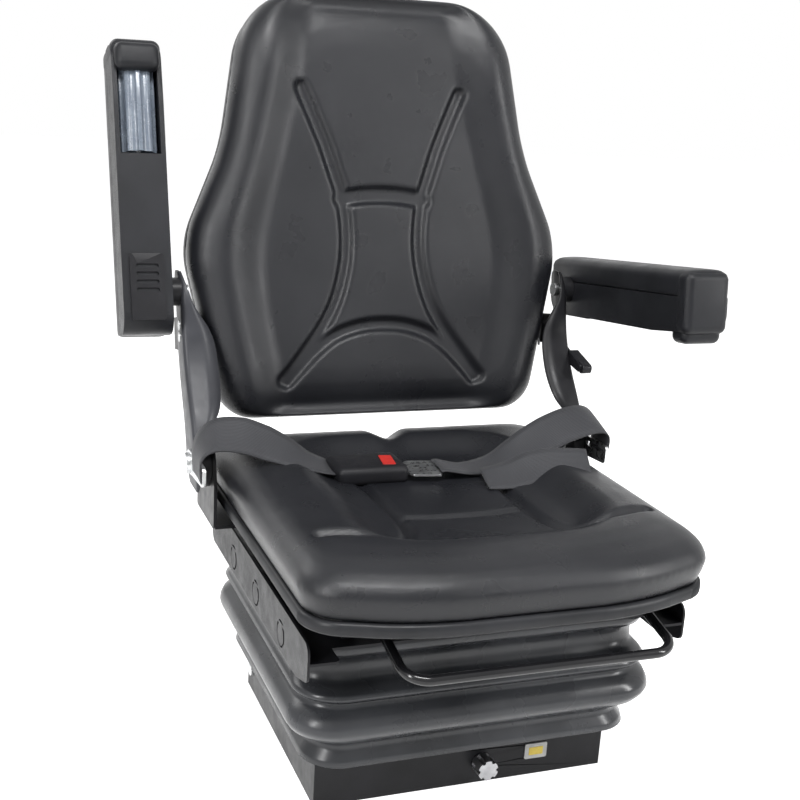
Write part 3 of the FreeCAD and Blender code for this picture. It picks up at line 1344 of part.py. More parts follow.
def build_all():
    low, high = "link_pivot_z", "link_pivot_z + link_rise"
    base_frame()
    upper_frame()
    roller_tracks("roller_tracks_lower", low)
    roller_tracks("roller_tracks_upper", high)
    link("outer_links", "outer_link_x", hinges_of(0))
    link("inner_links", "inner_link_x", hinges_of(1))
    rollers("upper_rollers", high)
    rollers("lower_rollers", low)
    hinge_shaft("hinge_shaft_lower", low)
    hinge_shaft("hinge_shaft_upper", high)
    spring_carrier()
    weight_knob()
    weight_window()
    suspension_springs()
    damper_tube()
    damper_rod()
    damper_bracket("damper_foot", "damper_foot_y", "damper_foot_z", "steel", "1")
    damper_bracket("damper_head", "-damper_head_y", "damper_head_z", "frame_top - steel", "-1")
    bellows()
    skirt()
    slide_rails_lower()
    slide_rails_upper()
    seat_pan()
    edge_trim()
    seat_cushion()
    backrest_cushion()
    backrest_shell()
    back_frame()
    arm_screws()
    return_spring()
    recliner_lever()
    lever_pin()
    for make in (hinge_brackets, recliner_discs, hinge_bolts, armrest_bolts, armrest_spacers, belt_anchors):
        make()
    for side in (1, -1):
        for make in (side_arm, armrest_housing, armrest_pad, armrest_wheel, armrest_axle, armrest_cover):
            make(side)
    slide_handle()
    handle_pins()
    lap_belt()
    buckle_body()
    buckle_button()
    belt_tongue()


def parts_of_seat():
    """Every finished sub-part: the bodies, and the shapes that stand outside a body."""
    found = []
    for item in doc.Objects:
        if item.TypeId == "PartDesign::Body" or item.TypeId == "Part::Feature" and not item.InList:
            found.append(item)
    return found


def export_all():
    """Stops the build on any faulty object; otherwise writes one STEP file for each sub-part."""
    doc.recompute()
    for item in doc.Objects:
        if "Invalid" in item.State or "Error" in item.State:
            raise ValueError("%s did not build" % item.Label)
    os.makedirs("parts", exist_ok=True)
    for part in parts_of_seat():
        if part.Shape.isNull() or not part.Shape.isValid() or part.Shape.Volume <= 0:
            raise ValueError("%s has no sound shape" % part.Label)
        part.Shape.exportStep("parts/%s.step" % part.Label)
        print("%s: %d solids, %.0f cm3" % (part.Label, len(part.Shape.Solids), part.Shape.Volume / 1000))


build_all()
export_all()
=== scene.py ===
import bpy
import bmesh
import math
import numpy
from mathutils import Matrix, Vector


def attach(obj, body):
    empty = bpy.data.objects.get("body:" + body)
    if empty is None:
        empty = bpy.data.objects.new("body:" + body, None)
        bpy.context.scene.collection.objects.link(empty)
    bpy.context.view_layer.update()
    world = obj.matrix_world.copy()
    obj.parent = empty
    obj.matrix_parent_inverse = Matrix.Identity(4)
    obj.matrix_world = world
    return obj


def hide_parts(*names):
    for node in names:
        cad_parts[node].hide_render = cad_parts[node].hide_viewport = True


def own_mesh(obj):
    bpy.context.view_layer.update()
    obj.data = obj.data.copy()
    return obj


# Agricultural machine seat: black vinyl cushions on a scissor suspension with rubber bellows.
# Sizes in the dictionaries are millimetres in the frame of the construction; meshes end in metres.

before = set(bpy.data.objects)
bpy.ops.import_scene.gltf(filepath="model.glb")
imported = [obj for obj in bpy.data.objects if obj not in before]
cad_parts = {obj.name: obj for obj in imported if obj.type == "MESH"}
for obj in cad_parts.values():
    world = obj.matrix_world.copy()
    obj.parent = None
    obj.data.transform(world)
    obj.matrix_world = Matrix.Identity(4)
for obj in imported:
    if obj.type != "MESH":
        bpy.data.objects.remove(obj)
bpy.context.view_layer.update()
metre = 1000.0

# Camera, light and ground

cameraSet = {"place": (-553.45, -1335.07, 796.37), "target": (-6.3, 8.0, 356.2), "roll": 3.76,
             "lens": 58.48, "sensor": 36, "shiftX": -0.033, "shiftY": 0.0571, "reach": 50}


def makeCamera():
    data = bpy.data.cameras.new("camera")
    data.lens = cameraSet["lens"]
    data.sensor_width = cameraSet["sensor"]
    data.shift_x = cameraSet["shiftX"]
    data.shift_y = cameraSet["shiftY"]
    data.clip_end = cameraSet["reach"]
    camera = bpy.data.objects.new("camera", data)
    bpy.context.scene.collection.objects.link(camera)
    place = Vector(cameraSet["place"]) / metre
    ahead = (Vector(cameraSet["target"]) / metre - place).normalized()
    roll = Matrix.Rotation(math.radians(cameraSet["roll"]), 3, "Z")
    turn = (-ahead).to_track_quat("Z", "Y").to_matrix() @ roll
    camera.matrix_world = Matrix.Translation(place) @ turn.to_4x4()
    bpy.context.scene.camera = camera


lampSet = {
    "topSoft": {"place": (-250, -1000, 2300), "size": (1100, 380), "watts": 50},
    "leftTall": {"place": (-2000, -1150, 1350), "size": (300, 1300), "watts": 38},
    "rightTall": {"place": (1750, -1500, 1250), "size": (300, 1300), "watts": 34},
    "rearSoft": {"place": (-1500, 1900, 1900), "size": (1300, 900), "watts": 18},
}
lampAim = (0, 0, 400)


def makeLamps():
    for name, values in lampSet.items():
        data = bpy.data.lights.new(name, "AREA")
        data.shape = "RECTANGLE"
        data.size = values["size"][0] / metre
        data.size_y = values["size"][1] / metre
        data.energy = values["watts"]
        lamp = bpy.data.objects.new(name, data)
        bpy.context.scene.collection.objects.link(lamp)
        place = Vector(values["place"]) / metre
        turn = (Vector(lampAim) / metre - place).to_track_quat("-Z", "Y").to_matrix()
        lamp.matrix_world = Matrix.Translation(place) @ turn.to_4x4()


groundSet = {"lightLevel": 0.16, "shownLevel": 1.0, "floorColour": 0.82, "floorGlow": 0.90,
             "floorRough": 0.9, "floorShine": 0.1, "half": 9000, "gap": 0.5}


# 1 for what the eye sees, straight, mirrored or through a clear piece
def seenRay(nodes, links):
    path = nodes.new("ShaderNodeLightPath")
    seen = path.outputs["Is Camera Ray"]
    for other in ("Is Glossy Ray", "Is Transmission Ray"):
        either = nodes.new("ShaderNodeMath")
        either.operation = "MAXIMUM"
        links.new(seen, either.inputs[0])
        links.new(path.outputs[other], either.inputs[1])
        seen = either.outputs[0]
    return seen


# white to the eye and in reflections, a plain grey light on everything else
def makeWorld():
    world = bpy.data.worlds.new("studio")
    bpy.context.scene.world = world
    world.use_nodes = True
    nodes, links = world.node_tree.nodes, world.node_tree.links
    background = nodes["Background"]
    background.inputs["Color"].default_value = (1, 1, 1, 1)
    level = nodes.new("ShaderNodeMapRange")
    level.inputs["To Min"].default_value = groundSet["lightLevel"]
    level.inputs["To Max"].default_value = groundSet["shownLevel"]
    links.new(seenRay(nodes, links), level.inputs["Value"])
    links.new(level.outputs["Result"], background.inputs["Strength"])


def makeFloor():
    bm = bmesh.new()
    bmesh.ops.create_grid(bm, x_segments=1, y_segments=1, size=groundSet["half"] / metre)
    mesh = bpy.data.meshes.new("floor")
    bm.to_mesh(mesh)
    bm.free()
    floor = bpy.data.objects.new("floor", mesh)
    bpy.context.scene.collection.objects.link(floor)
    floor.location.z = -groundSet["gap"] / metre
    material = bpy.data.materials.new("floorPale")
    material.use_nodes = True
    nodes, links = material.node_tree.nodes, material.node_tree.links
    shader = nodes["Principled BSDF"]
    pale = groundSet["floorColour"]
    shader.inputs["Base Color"].default_value = (pale, pale, pale, 1)
    shader.inputs["Roughness"].default_value = groundSet["floorRough"]
    shader.inputs["Specular IOR Level"].default_value = groundSet["floorShine"]
    shader.inputs["Emission Color"].default_value = (1, 1, 1, 1)
    glow = nodes.new("ShaderNodeMath")
    glow.operation = "MULTIPLY"
    glow.inputs[1].default_value = groundSet["floorGlow"]
    links.new(seenRay(nodes, links), glow.inputs[0])
    links.new(glow.outputs[0], shader.inputs["Emission Strength"])
    mesh.materials.append(material)


bpy.context.scene.view_settings.view_transform = "Standard"
makeCamera()
makeLamps()
makeWorld()
makeFloor()
print("stage: camera, light and floor are set")

# Finishes

# colour and its variation, patches per metre, roughness range, gloss, metal and clearness where it has any,
# and grain layers of (kind, scale per metre on x y z, depth in mm, share)
finishSet = {
    "vinyl": {"colour": (0.0085, 0.009, 0.011), "second": (0.013, 0.0135, 0.016), "patch": 9,
              "rough": (0.25, 0.35), "shine": 0.30,
              "grain": [("cells", (900, 900, 1100), 0.10, 0.5), ("noise", (260, 260, 900), 0.10, 0.6)]},
    "welt": {"colour": (0.012, 0.0125, 0.014), "second": (0.019, 0.0195, 0.022), "patch": 14,
             "rough": (0.32, 0.44), "shine": 0.22, "grain": [("noise", (700, 700, 700), 0.06, 0.5)]},
    "blackPaint": {"colour": (0.008, 0.008, 0.009), "second": (0.014, 0.014, 0.016), "patch": 20,
                   "rough": (0.28, 0.42), "shine": 0.18, "grain": [("noise", (520, 520, 520), 0.05, 0.5)]},
    "glossBlack": {"colour": (0.006, 0.006, 0.007), "second": (0.009, 0.009, 0.010), "patch": 12,
                   "rough": (0.12, 0.2), "shine": 0.35, "grain": [("noise", (160, 160, 160), 0.03, 0.4)]},
    "greyPaint": {"colour": (0.030, 0.031, 0.036), "second": (0.042, 0.043, 0.049), "patch": 16,
                  "rough": (0.30, 0.44), "shine": 0.25, "grain": [("noise", (480, 480, 480), 0.04, 0.5)]},
    "zinc": {"colour": (0.60, 0.61, 0.62), "second": (0.74, 0.75, 0.75), "patch": 60, "rough": (0.22, 0.4),
             "metal": 1.0, "grain": [("noise", (500, 500, 500), 0.012, 0.3)]},
    "springSteel": {"colour": (0.30, 0.30, 0.31), "second": (0.42, 0.42, 0.43), "patch": 70,
                    "rough": (0.28, 0.45), "metal": 1.0, "grain": [("noise", (800, 800, 800), 0.03, 0.4)]},
    "blackPlastic": {"colour": (0.0075, 0.0075, 0.009), "second": (0.012, 0.012, 0.014), "patch": 18,
                     "rough": (0.34, 0.48), "shine": 0.18,
                     "grain": [("cells", (1400, 1400, 1400), 0.06, 0.6)]},
    "armrestSkin": {"colour": (0.008, 0.0085, 0.010), "second": (0.013, 0.0135, 0.016), "patch": 16,
                    "rough": (0.30, 0.42), "shine": 0.20,
                    "grain": [("cells", (1100, 1100, 1100), 0.08, 0.6),
                              ("noise", (300, 300, 300), 0.08, 0.4)]},
    "bellowsRubber": {"colour": (0.014, 0.015, 0.017), "second": (0.046, 0.048, 0.053), "patch": 6,
                      "rough": (0.20, 0.36), "shine": 0.34,
                      "grain": [("noise", (60, 60, 25), 0.25, 0.5), ("noise", (600, 600, 600), 0.05, 0.4)]},
    "wheelPlastic": {"colour": (0.16, 0.19, 0.24), "second": (0.24, 0.28, 0.33), "patch": 30,
                     "rough": (0.18, 0.32), "clear": 0.35, "grain": [("noise", (400, 400, 400), 0.04, 0.4)]},
    "buttonRed": {"colour": (0.42, 0.018, 0.014), "second": (0.52, 0.030, 0.022), "patch": 60,
                  "rough": (0.3, 0.42), "grain": [("noise", (900, 900, 900), 0.03, 0.4)]},
    "windowGrey": {"colour": (0.42, 0.42, 0.41), "second": (0.52, 0.52, 0.50), "patch": 80,
                   "rough": (0.3, 0.45), "grain": [("noise", (900, 900, 900), 0.03, 0.4)]},
    "windowYellow": {"colour": (0.62, 0.46, 0.05), "second": (0.72, 0.55, 0.08), "patch": 90,
                     "rough": (0.25, 0.35), "grain": [("noise", (900, 900, 900), 0.02, 0.4)]},
}
# where the noise changes colour and roughness, how much finer the roughness is,
# and how wide the edge of a grain cell is
mixSet = {"colourFrom": 0.35, "colourTo": 0.68, "roughFrom": 0.3, "roughTo": 0.7, "roughFiner": 2.7,
          "colourDetail": 4, "roughDetail": 5, "grainDetail": 3, "cellEdge": 0.18}


# a noise over the piece, read from its own place, as a node that gives 0 to 1
def spreadNoise(nodes, links, source, scale, detail):
    noise = nodes.new("ShaderNodeTexNoise")
    noise.inputs["Scale"].default_value = scale
    noise.inputs["Detail"].default_value = detail
    links.new(source, noise.inputs["Vector"])
    return noise.outputs[0]


def grainHeight(nodes, links, source, kind, scales):
    mapping = nodes.new("ShaderNodeMapping")
    mapping.inputs["Scale"].default_value = scales
    links.new(source, mapping.inputs["Vector"])
    if kind == "cells":
        cells = nodes.new("ShaderNodeTexVoronoi")
        cells.feature = "DISTANCE_TO_EDGE"
        cells.inputs["Scale"].default_value = 1
        links.new(mapping.outputs[0], cells.inputs["Vector"])
        soft = nodes.new("ShaderNodeMapRange")
        soft.inputs["From Max"].default_value = mixSet["cellEdge"]
        links.new(cells.outputs["Distance"], soft.inputs["Value"])
        return soft.outputs["Result"]
    return spreadNoise(nodes, links, mapping.outputs[0], 1, mixSet["grainDetail"])


def addBump(nodes, links, before, height, depth, share):
    bump = nodes.new("ShaderNodeBump")
    bump.inputs["Strength"].default_value = share
    bump.inputs["Distance"].default_value = depth / metre
    links.new(height, bump.inputs["Height"])
    if before is not None:
        links.new(before, bump.inputs["Normal"])
    return bump.outputs["Normal"]


def makeFinish(name, values):
    material = bpy.data.materials.new(name)
    material.use_nodes = True
    nodes, links = material.node_tree.nodes, material.node_tree.links
    shader = nodes["Principled BSDF"]
    place = nodes.new("ShaderNodeTexCoord").outputs["Object"]
    patches = spreadNoise(nodes, links, place, values["patch"], mixSet["colourDetail"])
    colours = nodes.new("ShaderNodeValToRGB")
    colours.color_ramp.elements[0].position = mixSet["colourFrom"]
    colours.color_ramp.elements[1].position = mixSet["colourTo"]
    colours.color_ramp.elements[0].color = (*values["colour"], 1)
    colours.color_ramp.elements[1].color = (*values["second"], 1)
    links.new(patches, colours.inputs["Fac"])
    links.new(colours.outputs["Color"], shader.inputs["Base Color"])
    rough = nodes.new("ShaderNodeMapRange")
    rough.inputs["From Min"].default_value = mixSet["roughFrom"]
    rough.inputs["From Max"].default_value = mixSet["roughTo"]
    rough.inputs["To Min"].default_value, rough.inputs["To Max"].default_value = values["rough"]
    scuffs = spreadNoise(nodes, links, place, values["patch"] * mixSet["roughFiner"], mixSet["roughDetail"])
    links.new(scuffs, rough.inputs["Value"])
    links.new(rough.outputs["Result"], shader.inputs["Roughness"])
    shader.inputs["Metallic"].default_value = values.get("metal", 0.0)
    shader.inputs["Specular IOR Level"].default_value = values.get("shine", 0.5)
    shader.inputs["Transmission Weight"].default_value = values.get("clear", 0.0)
    normal = None
    for kind, scales, depth, share in values["grain"]:
        normal = addBump(nodes, links, normal, grainHeight(nodes, links, place, kind, scales), depth, share)
    links.new(normal, shader.inputs["Normal"])
    return material


# the webbing's colour is dark in the weave's hollows and lighter on the raised threads: painted shade
webSet = {"colour": (0.012, 0.012, 0.014), "second": (0.040, 0.041, 0.046), "rib": 1.9, "twill": 1.15,
          "slant": 38, "wander": 0.4, "weaveShare": 0.6, "depth": 0.35, "bumpShare": 0.6, "rough": 0.5,
          "sheen": 0.08, "shine": 0.25}


# seat belt webbing: lengthwise ribs crossed by a slanting weave, on the strap's own map in millimetres; the
# colour follows the weave's height, darker in its hollows as painted shade
def makeWebbing():
    material = bpy.data.materials.new("webbing")
    material.use_nodes = True
    nodes, links = material.node_tree.nodes, material.node_tree.links
    shader = nodes["Principled BSDF"]
    flat = nodes.new("ShaderNodeUVMap").outputs["UV"]
    heights = []
    slant = webSet["slant"]
    for turn, pitch in ((0, webSet["rib"]), (slant, webSet["twill"]), (-slant, webSet["twill"])):
        mapping = nodes.new("ShaderNodeMapping")
        mapping.inputs["Rotation"].default_value = (0, 0, math.radians(turn))
        links.new(flat, mapping.inputs["Vector"])
        wave = nodes.new("ShaderNodeTexWave")
        wave.bands_direction = "Y" if turn == 0 else "X"
        wave.inputs["Scale"].default_value = math.pi / (10 * pitch)  # its sine runs 20 radians a unit
        wave.inputs["Distortion"].default_value = webSet["wander"]
        wave.inputs["Detail"].default_value = 1
        links.new(mapping.outputs[0], wave.inputs["Vector"])
        heights.append(wave.outputs["Fac"])
    weave = nodes.new("ShaderNodeMath")
    weave.operation = "MULTIPLY"
    links.new(heights[1], weave.inputs[0])
    links.new(heights[2], weave.inputs[1])
    height = nodes.new("ShaderNodeMath")
    height.operation = "MULTIPLY_ADD"
    height.inputs[1].default_value = webSet["weaveShare"]
    links.new(weave.outputs[0], height.inputs[0])
    links.new(heights[0], height.inputs[2])
    # painted shade: the weave's hollows get the darker colour and the raised threads the lighter one
    colours = nodes.new("ShaderNodeValToRGB")
    colours.color_ramp.elements[0].color = (*webSet["colour"], 1)
    colours.color_ramp.elements[1].color = (*webSet["second"], 1)
    links.new(height.outputs[0], colours.inputs["Fac"])
    links.new(colours.outputs["Color"], shader.inputs["Base Color"])
    shader.inputs["Roughness"].default_value = webSet["rough"]
    shader.inputs["Sheen Weight"].default_value = webSet["sheen"]
    shader.inputs["Specular IOR Level"].default_value = webSet["shine"]
    raised = addBump(nodes, links, None, height.outputs[0], webSet["depth"], webSet["bumpShare"])
    links.new(raised, shader.inputs["Normal"])
    return material


finish = {name: makeFinish(name, values) for name, values in finishSet.items()}
finish["webbing"] = makeWebbing()
print("stage: finishes are mixed")

# Shared mesh helpers

joinGap = 0.005  # points nearer than this are one, in mm


def ease(low, high, value):
    step = numpy.clip((value - low) / (high - low), 0, 1)
    return step * step * (3 - 2 * step)


# points on a smooth line through the given ones
def smoothLine(points, steps=8):
    padded = [points[0]] + list(points) + [points[-1]]
    line = []
    for a, b, c, d in zip(padded, padded[1:], padded[2:], padded[3:]):
        a, b, c, d = Vector(a), Vector(b), Vector(c), Vector(d)
        for i in range(steps):
            t = i / steps
            bend = (2 * a - 5 * b + 4 * c - d) * t ** 2 + (3 * b - a - 3 * c + d) * t ** 3
            line.append(0.5 * (2 * b + (c - a) * t + bend))
    return line + [Vector(points[-1])]


# plan distance of many points from the smooth line through a few spots
def lineDistance(across, along, spots):
    line = smoothLine([(*spot, 0) for spot in spots])
    nearest = numpy.full(len(across), numpy.inf)
    for start, end in zip(line, line[1:]):
        run = end - start
        if run.length < joinGap:
            continue
        share = ((across - start.x) * run.x + (along - start.y) * run.y) / run.length_squared
        share = numpy.clip(share, 0, 1)
        away = numpy.hypot(across - start.x - share * run.x, along - start.y - share * run.y)
        nearest = numpy.minimum(nearest, away)
    return nearest


# one rounded outline at a height, as a loop of edges; corners are (x, y, radius)
def roundedLoop(bm, corners, height, segments, cuts=0):
    before = set(bm.edges)
    verts = [bm.verts.new((x, y, height)) for x, y, radius in corners]
    bm.faces.new(verts)
    count = len(corners)
    for i, vert in enumerate(verts):
        here, last, following = (Vector(corners[k % count][:2]) for k in (i, i - 1, i + 1))
        turn = (here - last).angle(following - here)
        tangent = corners[i][2] * math.tan(turn / 2)
        bmesh.ops.bevel(bm, geom=[vert], offset=tangent, offset_type="OFFSET", segments=segments,
                        profile=0.5, affect="VERTICES", material=-1)
    loop = [edge for edge in bm.edges if edge not in before]
    bmesh.ops.delete(bm, geom=list({face for edge in loop for face in edge.link_faces}), context="FACES_ONLY")
    if cuts:
        straight = [edge for edge in loop if edge.calc_length() > cuts]
        for edge in straight:
            bmesh.ops.subdivide_edges(bm, edges=[edge], cuts=max(1, int(edge.calc_length() / cuts)))
        loop = [edge for edge in bm.edges if edge not in before]
    return loop


# a closed form through several rounded outlines
def loftLoops(levels, segments):
    bm = bmesh.new()
    loops = [roundedLoop(bm, corners, height, segments) for height, corners in levels]
    for lower, upper in zip(loops, loops[1:]):
        bmesh.ops.bridge_loops(bm, edges=lower + upper)
    for loop in (loops[0], loops[-1]):
        bmesh.ops.contextual_create(bm, geom=loop)
    return bm


# a bmesh in millimetres becomes a piece in metres on its body
def makePiece(name, bm, material, body, sharp=None, place=None):
    bmesh.ops.remove_doubles(bm, verts=bm.verts, dist=joinGap)
    bmesh.ops.recalc_face_normals(bm, faces=bm.faces)
    if place is not None:
        bmesh.ops.transform(bm, matrix=place, verts=bm.verts)
    bmesh.ops.scale(bm, vec=(1 / metre, 1 / metre, 1 / metre), verts=bm.verts)
    for face in bm.faces:
        face.smooth = True
    mesh = bpy.data.meshes.new(name)
    bm.to_mesh(mesh)
    bm.free()
    if sharp is not None:
        mesh.set_sharp_from_angle(angle=math.radians(sharp))
    mesh.materials.append(material)
    piece = bpy.data.objects.new(name, mesh)
    bpy.context.scene.collection.objects.link(piece)
    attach(piece, body)
    return piece


# even small faces all over a closed form
def remeshed(bm, voxel):
    bmesh.ops.recalc_face_normals(bm, faces=bm.faces)
    mesh = bpy.data.meshes.new("rough")
    bm.to_mesh(mesh)
    bm.free()
    rough = bpy.data.objects.new("rough", mesh)
    bpy.context.scene.collection.objects.link(rough)
    change = rough.modifiers.new("remesh", "REMESH")
    change.mode = "VOXEL"
    change.voxel_size = voxel
    graph = bpy.context.evaluated_depsgraph_get()
    even = bpy.data.meshes.new_from_object(rough.evaluated_get(graph))
    bpy.data.objects.remove(rough)
    done = bmesh.new()
    done.from_mesh(even)
    bpy.data.meshes.remove(even)
    return done


def smoothed(bm, rounds, verts=None):
    for i in range(rounds):
        bmesh.ops.smooth_vert(bm, verts=verts or bm.verts, factor=0.5, use_axis_x=True, use_axis_y=True,
                              use_axis_z=True)


# moves every vertex by what the rule gives for all places at once
def sculpt(bm, rule):
    spots = numpy.array([vert.co for vert in bm.verts])
    moved = spots + rule(spots)
    for vert, spot in zip(bm.verts, moved):
        vert.co = spot


# Seat cushion

seatSet = {
    "half": 223, "front": 293, "sideFront": 255, "rear": 200, "noseHalf": 120,
    "corner": 45, "nose": 250, "rearCorner": 40, "cornerCuts": 8, "voxel": 2.9, "rounds": 10,
    # height, growth of the plan outline and its further growth at the front
    "levels": ((261.3, -8.5, 0), (273.0, -8.5, 0), (275.0, -3, 0), (283.0, 0, 0), (300.0, 4, 0),
               (312.0, -1, -2), (321.0, -11, -5), (327.0, -24, -10), (330.5, -44, -14)),
    "softFrom": 277, "topFrom": 290, "shapedFrom": 292, "shapedFully": 316,
    "dish": {"half": 134, "front": -196, "rear": 122, "corner": 60, "slope": 27, "deep": 20},
    "lobe": {"x": 128, "y": -48, "wide": 42, "long": 92, "high": 8},
    "lobeLine": ((84, 40), (81, 0), (79, -45), (77, -95), (80, -138), (93, -168), (114, -183), (140, -182),
                 (168, -175), (187, -171)),
    "lobeCut": {"deep": 7.5, "half": 6.0, "wall": 8, "fadeFrom": -5, "fadeTo": 45},
    "crossLine": ((-66, -100), (-30, -104), (0, -105), (30, -104), (66, -100)),
    "crossCut": {"deep": 4.6, "half": 4.0, "wall": 6},
    "frontLine": ((-92, -199), (-50, -208), (0, -211), (50, -208), (92, -199)),
    "frontCut": {"deep": 3.6, "half": 4.5, "wall": 8},
    "notch": {"from": 92, "to": 196, "half": 30, "deep": 15},
}


def seatPlan(grow, frontGrow):
    values = seatSet
    nose = -values["front"] - grow - frontGrow
    side = -values["sideFront"] - grow - frontGrow
    half = values["half"] + grow
    rear = values["rear"] + grow
    corner = values["corner"] + grow / 2
    rearCorner = values["rearCorner"] + grow / 2
    return [(values["noseHalf"], nose, values["nose"]), (half, side, corner), (half, rear, rearCorner),
            (-half, rear, rearCorner), (-half, side, corner), (-values["noseHalf"], nose, values["nose"])]


def boxDistance(x, y, half, low, high, corner):
    reachX = numpy.abs(x) - (half - corner)
    reachY = numpy.abs(y - (low + high) / 2) - ((high - low) / 2 - corner)
    outside = numpy.hypot(numpy.maximum(reachX, 0), numpy.maximum(reachY, 0))
    return outside + numpy.minimum(numpy.maximum(reachX, reachY), 0) - corner


def groove(distance, half, wall):
    return 1 - ease(half - wall / 2, half + wall / 2, distance)


# depth of a channel at each distance from its line
def cutDepth(distance, cut):
    return cut["deep"] * groove(distance, cut["half"], cut["wall"])


# dish to sit in, raised thigh lobes, their channels and the notch at the rear
def seatForm(spots):
    values = seatSet
    x, y, z = spots.T
    upper = ease(values["shapedFrom"], values["shapedFully"], z)
    dish = values["dish"]
    away = boxDistance(x, y, dish["half"], dish["front"], dish["rear"], dish["corner"])
    fall = -dish["deep"] * (1 - ease(-dish["slope"], dish["slope"], away))
    lobe = values["lobe"]
    fromLobe = ((numpy.abs(x) - lobe["x"]) / lobe["wide"]) ** 2 + ((y - lobe["y"]) / lobe["long"]) ** 2
    fall += lobe["high"] * numpy.exp(-fromLobe)
    lobeCut = values["lobeCut"]
    fade = 1 - ease(lobeCut["fadeFrom"], lobeCut["fadeTo"], y)
    fall -= cutDepth(lineDistance(numpy.abs(x), y, values["lobeLine"]), lobeCut) * fade
    fall -= cutDepth(lineDistance(x, y, values["crossLine"]), values["crossCut"])
    fall -= cutDepth(lineDistance(x, y, values["frontLine"]), values["frontCut"])
    notch = values["notch"]
    fall -= notch["deep"] * ease(notch["from"], notch["to"], y) * (1 - ease(0, notch["half"], numpy.abs(x)))
    moved = numpy.zeros_like(spots)
    moved[:, 2] = fall * upper
    return moved


def makeSeatCushion():
    values = seatSet
    levels = [(z, seatPlan(grow, frontGrow)) for z, grow, frontGrow in values["levels"]]
    bm = remeshed(loftLoops(levels, values["cornerCuts"]), values["voxel"])
    smoothed(bm, values["rounds"], [vert for vert in bm.verts if vert.co.z > values["softFrom"]])
    sculpt(bm, seatForm)
    smoothed(bm, 1, [vert for vert in bm.verts if vert.co.z > values["topFrom"]])
    piece = makePiece("seatCushion", bm, finish["vinyl"], "seat")
    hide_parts("seat_cushion")


makeSeatCushion()
print("stage: the seat cushion is moulded")

weltSet = {
    # growth of the seat's outline and height, round the section
    "profile": ((-8.0, 259.6), (-8.0, 272.4), (-6.0, 273.6), (-2.0, 273.4), (0.6, 271.0), (1.0, 266.0),
                (0.6, 261.5), (-1.5, 259.2), (-5.0, 259.0)),
    "pitch": 1.55, "rib": 0.55, "ribbedFrom": -7, "cornerCuts": 30, "middleY": -40,
}


# which way is out, at each point of the plan outline
def outwardOf(loopVerts):
    outward = {}
    for vert in loopVerts:
        sides = [edge.other_vert(vert).co for edge in vert.link_edges if edge.other_vert(vert) in loopVerts]
        along = (sides[0] - sides[1]).normalized()
        out = Vector((along.y, -along.x, 0))
        fromMiddle = Vector((vert.co.x, vert.co.y - weltSet["middleY"], 0))
        outward[vert] = out if out.dot(fromMiddle) > 0 else -out
    return outward


# ribbed band round the lower edge: the plan outline swept round a rounded section, every other point raised
def makeWelt():
    bm = bmesh.new()
    first = roundedLoop(bm, seatPlan(0, 0), 0, weltSet["cornerCuts"], weltSet["pitch"])
    loopVerts = {vert for edge in first for vert in edge.verts}
    outward = outwardOf(loopVerts)
    start = next(iter(loopVerts))
    order, last = [start], None
    while len(order) < len(loopVerts):
        following = [edge.other_vert(order[-1]) for edge in order[-1].link_edges]
        following = [vert for vert in following if vert is not last and vert not in order[-3:]]
        last = order[-1]
        order.append(following[0])
    raised = {vert: i % 2 for i, vert in enumerate(order)}
    base = {vert: vert.co.copy() for vert in order}
    loops = []
    for grow, height in weltSet["profile"]:
        ring = []
        for vert in order:
            lift = weltSet["rib"] * raised[vert] if grow > weltSet["ribbedFrom"] else 0
            ring.append(bm.verts.new(base[vert] + outward[vert] * (grow + lift) + Vector((0, 0, height))))
        loops.append([bm.edges.new((a, b)) for a, b in zip(ring, ring[1:] + ring[:1])])
    bmesh.ops.delete(bm, geom=order, context="VERTS")
    for lower, upper in zip(loops, loops[1:] + loops[:1]):
        bmesh.ops.bridge_loops(bm, edges=lower + upper)
    piece = makePiece("seatWelt", bm, finish["welt"], "seat")
    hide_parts("edge_trim")


makeWelt()
print("stage: the welt runs round the seat")

# Backrest cushion, in its own leaning plane: x across, y up the back, z towards the front

backSet = {
    "y": 175, "z": 347, "lean": 10.2, "height": 520, "cornerCuts": 10, "voxel": 2.7, "rounds": 12,
    # half width, height up the back and corner radius
    "outline": ((205, 0, 45), (250, 215, 110), (198, 335, 260), (168, 520, 86)),
    # height out of the back and inset of the outline
    "levels": ((-54.6, 6), (-39, 6), (-37, 1.5), (-24, 0), (-13, 0), (-4, 2.5), (4, 7.5), (11.5, 16),
               (17.5, 28), (21.5, 42), (23.5, 60)),
    "softFrom": -34, "topFrom": -20, "shapedFrom": -6, "shapedFully": 14,
    # half width of the sides at heights up the back, which the dish follows
    "side": ((200, -60), (209, 20), (232, 130), (235, 220), (207, 335), (182, 440), (168, 580)),
    "dish": {"slope": 62, "inset": 58, "run": 60, "deep": 22, "blend": 24},
    "leg": ((104, 404), (88, 368), (74, 335), (62, 300), (55, 279), (50, 252), (48, 225), (49, 200),
            (53, 177), (60, 152), (70, 129), (84, 106), (101, 83), (118, 61), (131, 46)),
    "rung": ((-54, 271), (-28, 275), (0, 276.5), (28, 275), (54, 271)),
    "arch": ((-126, 44), (-104, 68), (-84, 87), (-62, 102), (-32, 112), (0, 115), (32, 112), (62, 102),
             (84, 87), (104, 68), (126, 44)),
    "deep": 8.0, "half": 7.6, "wall": 6.5, "rungHalf": 10.0,
}


def backPlace():
    lean = math.radians(backSet["lean"])
    return Matrix(((1, 0, 0, 0), (0, math.sin(lean), -math.cos(lean), backSet["y"]),
                   (0, math.cos(lean), math.sin(lean), backSet["z"]), (0, 0, 0, 1)))


def backPlan(inset):
    right = []
    for i, (x, y, radius) in enumerate(backSet["outline"]):
        up = y + inset if i == 0 else y - inset if i == 3 else y
        right.append((x - inset, up, radius))
    return right + [(-x, y, radius) for x, y, radius in reversed(right)]


# half width that the dish follows, at a height up the back
def backHalf(up):
    side = smoothLine([(*spot, 0) for spot in backSet["side"]])
    return numpy.interp(up, [spot.y for spot in side], [spot.x for spot in side])


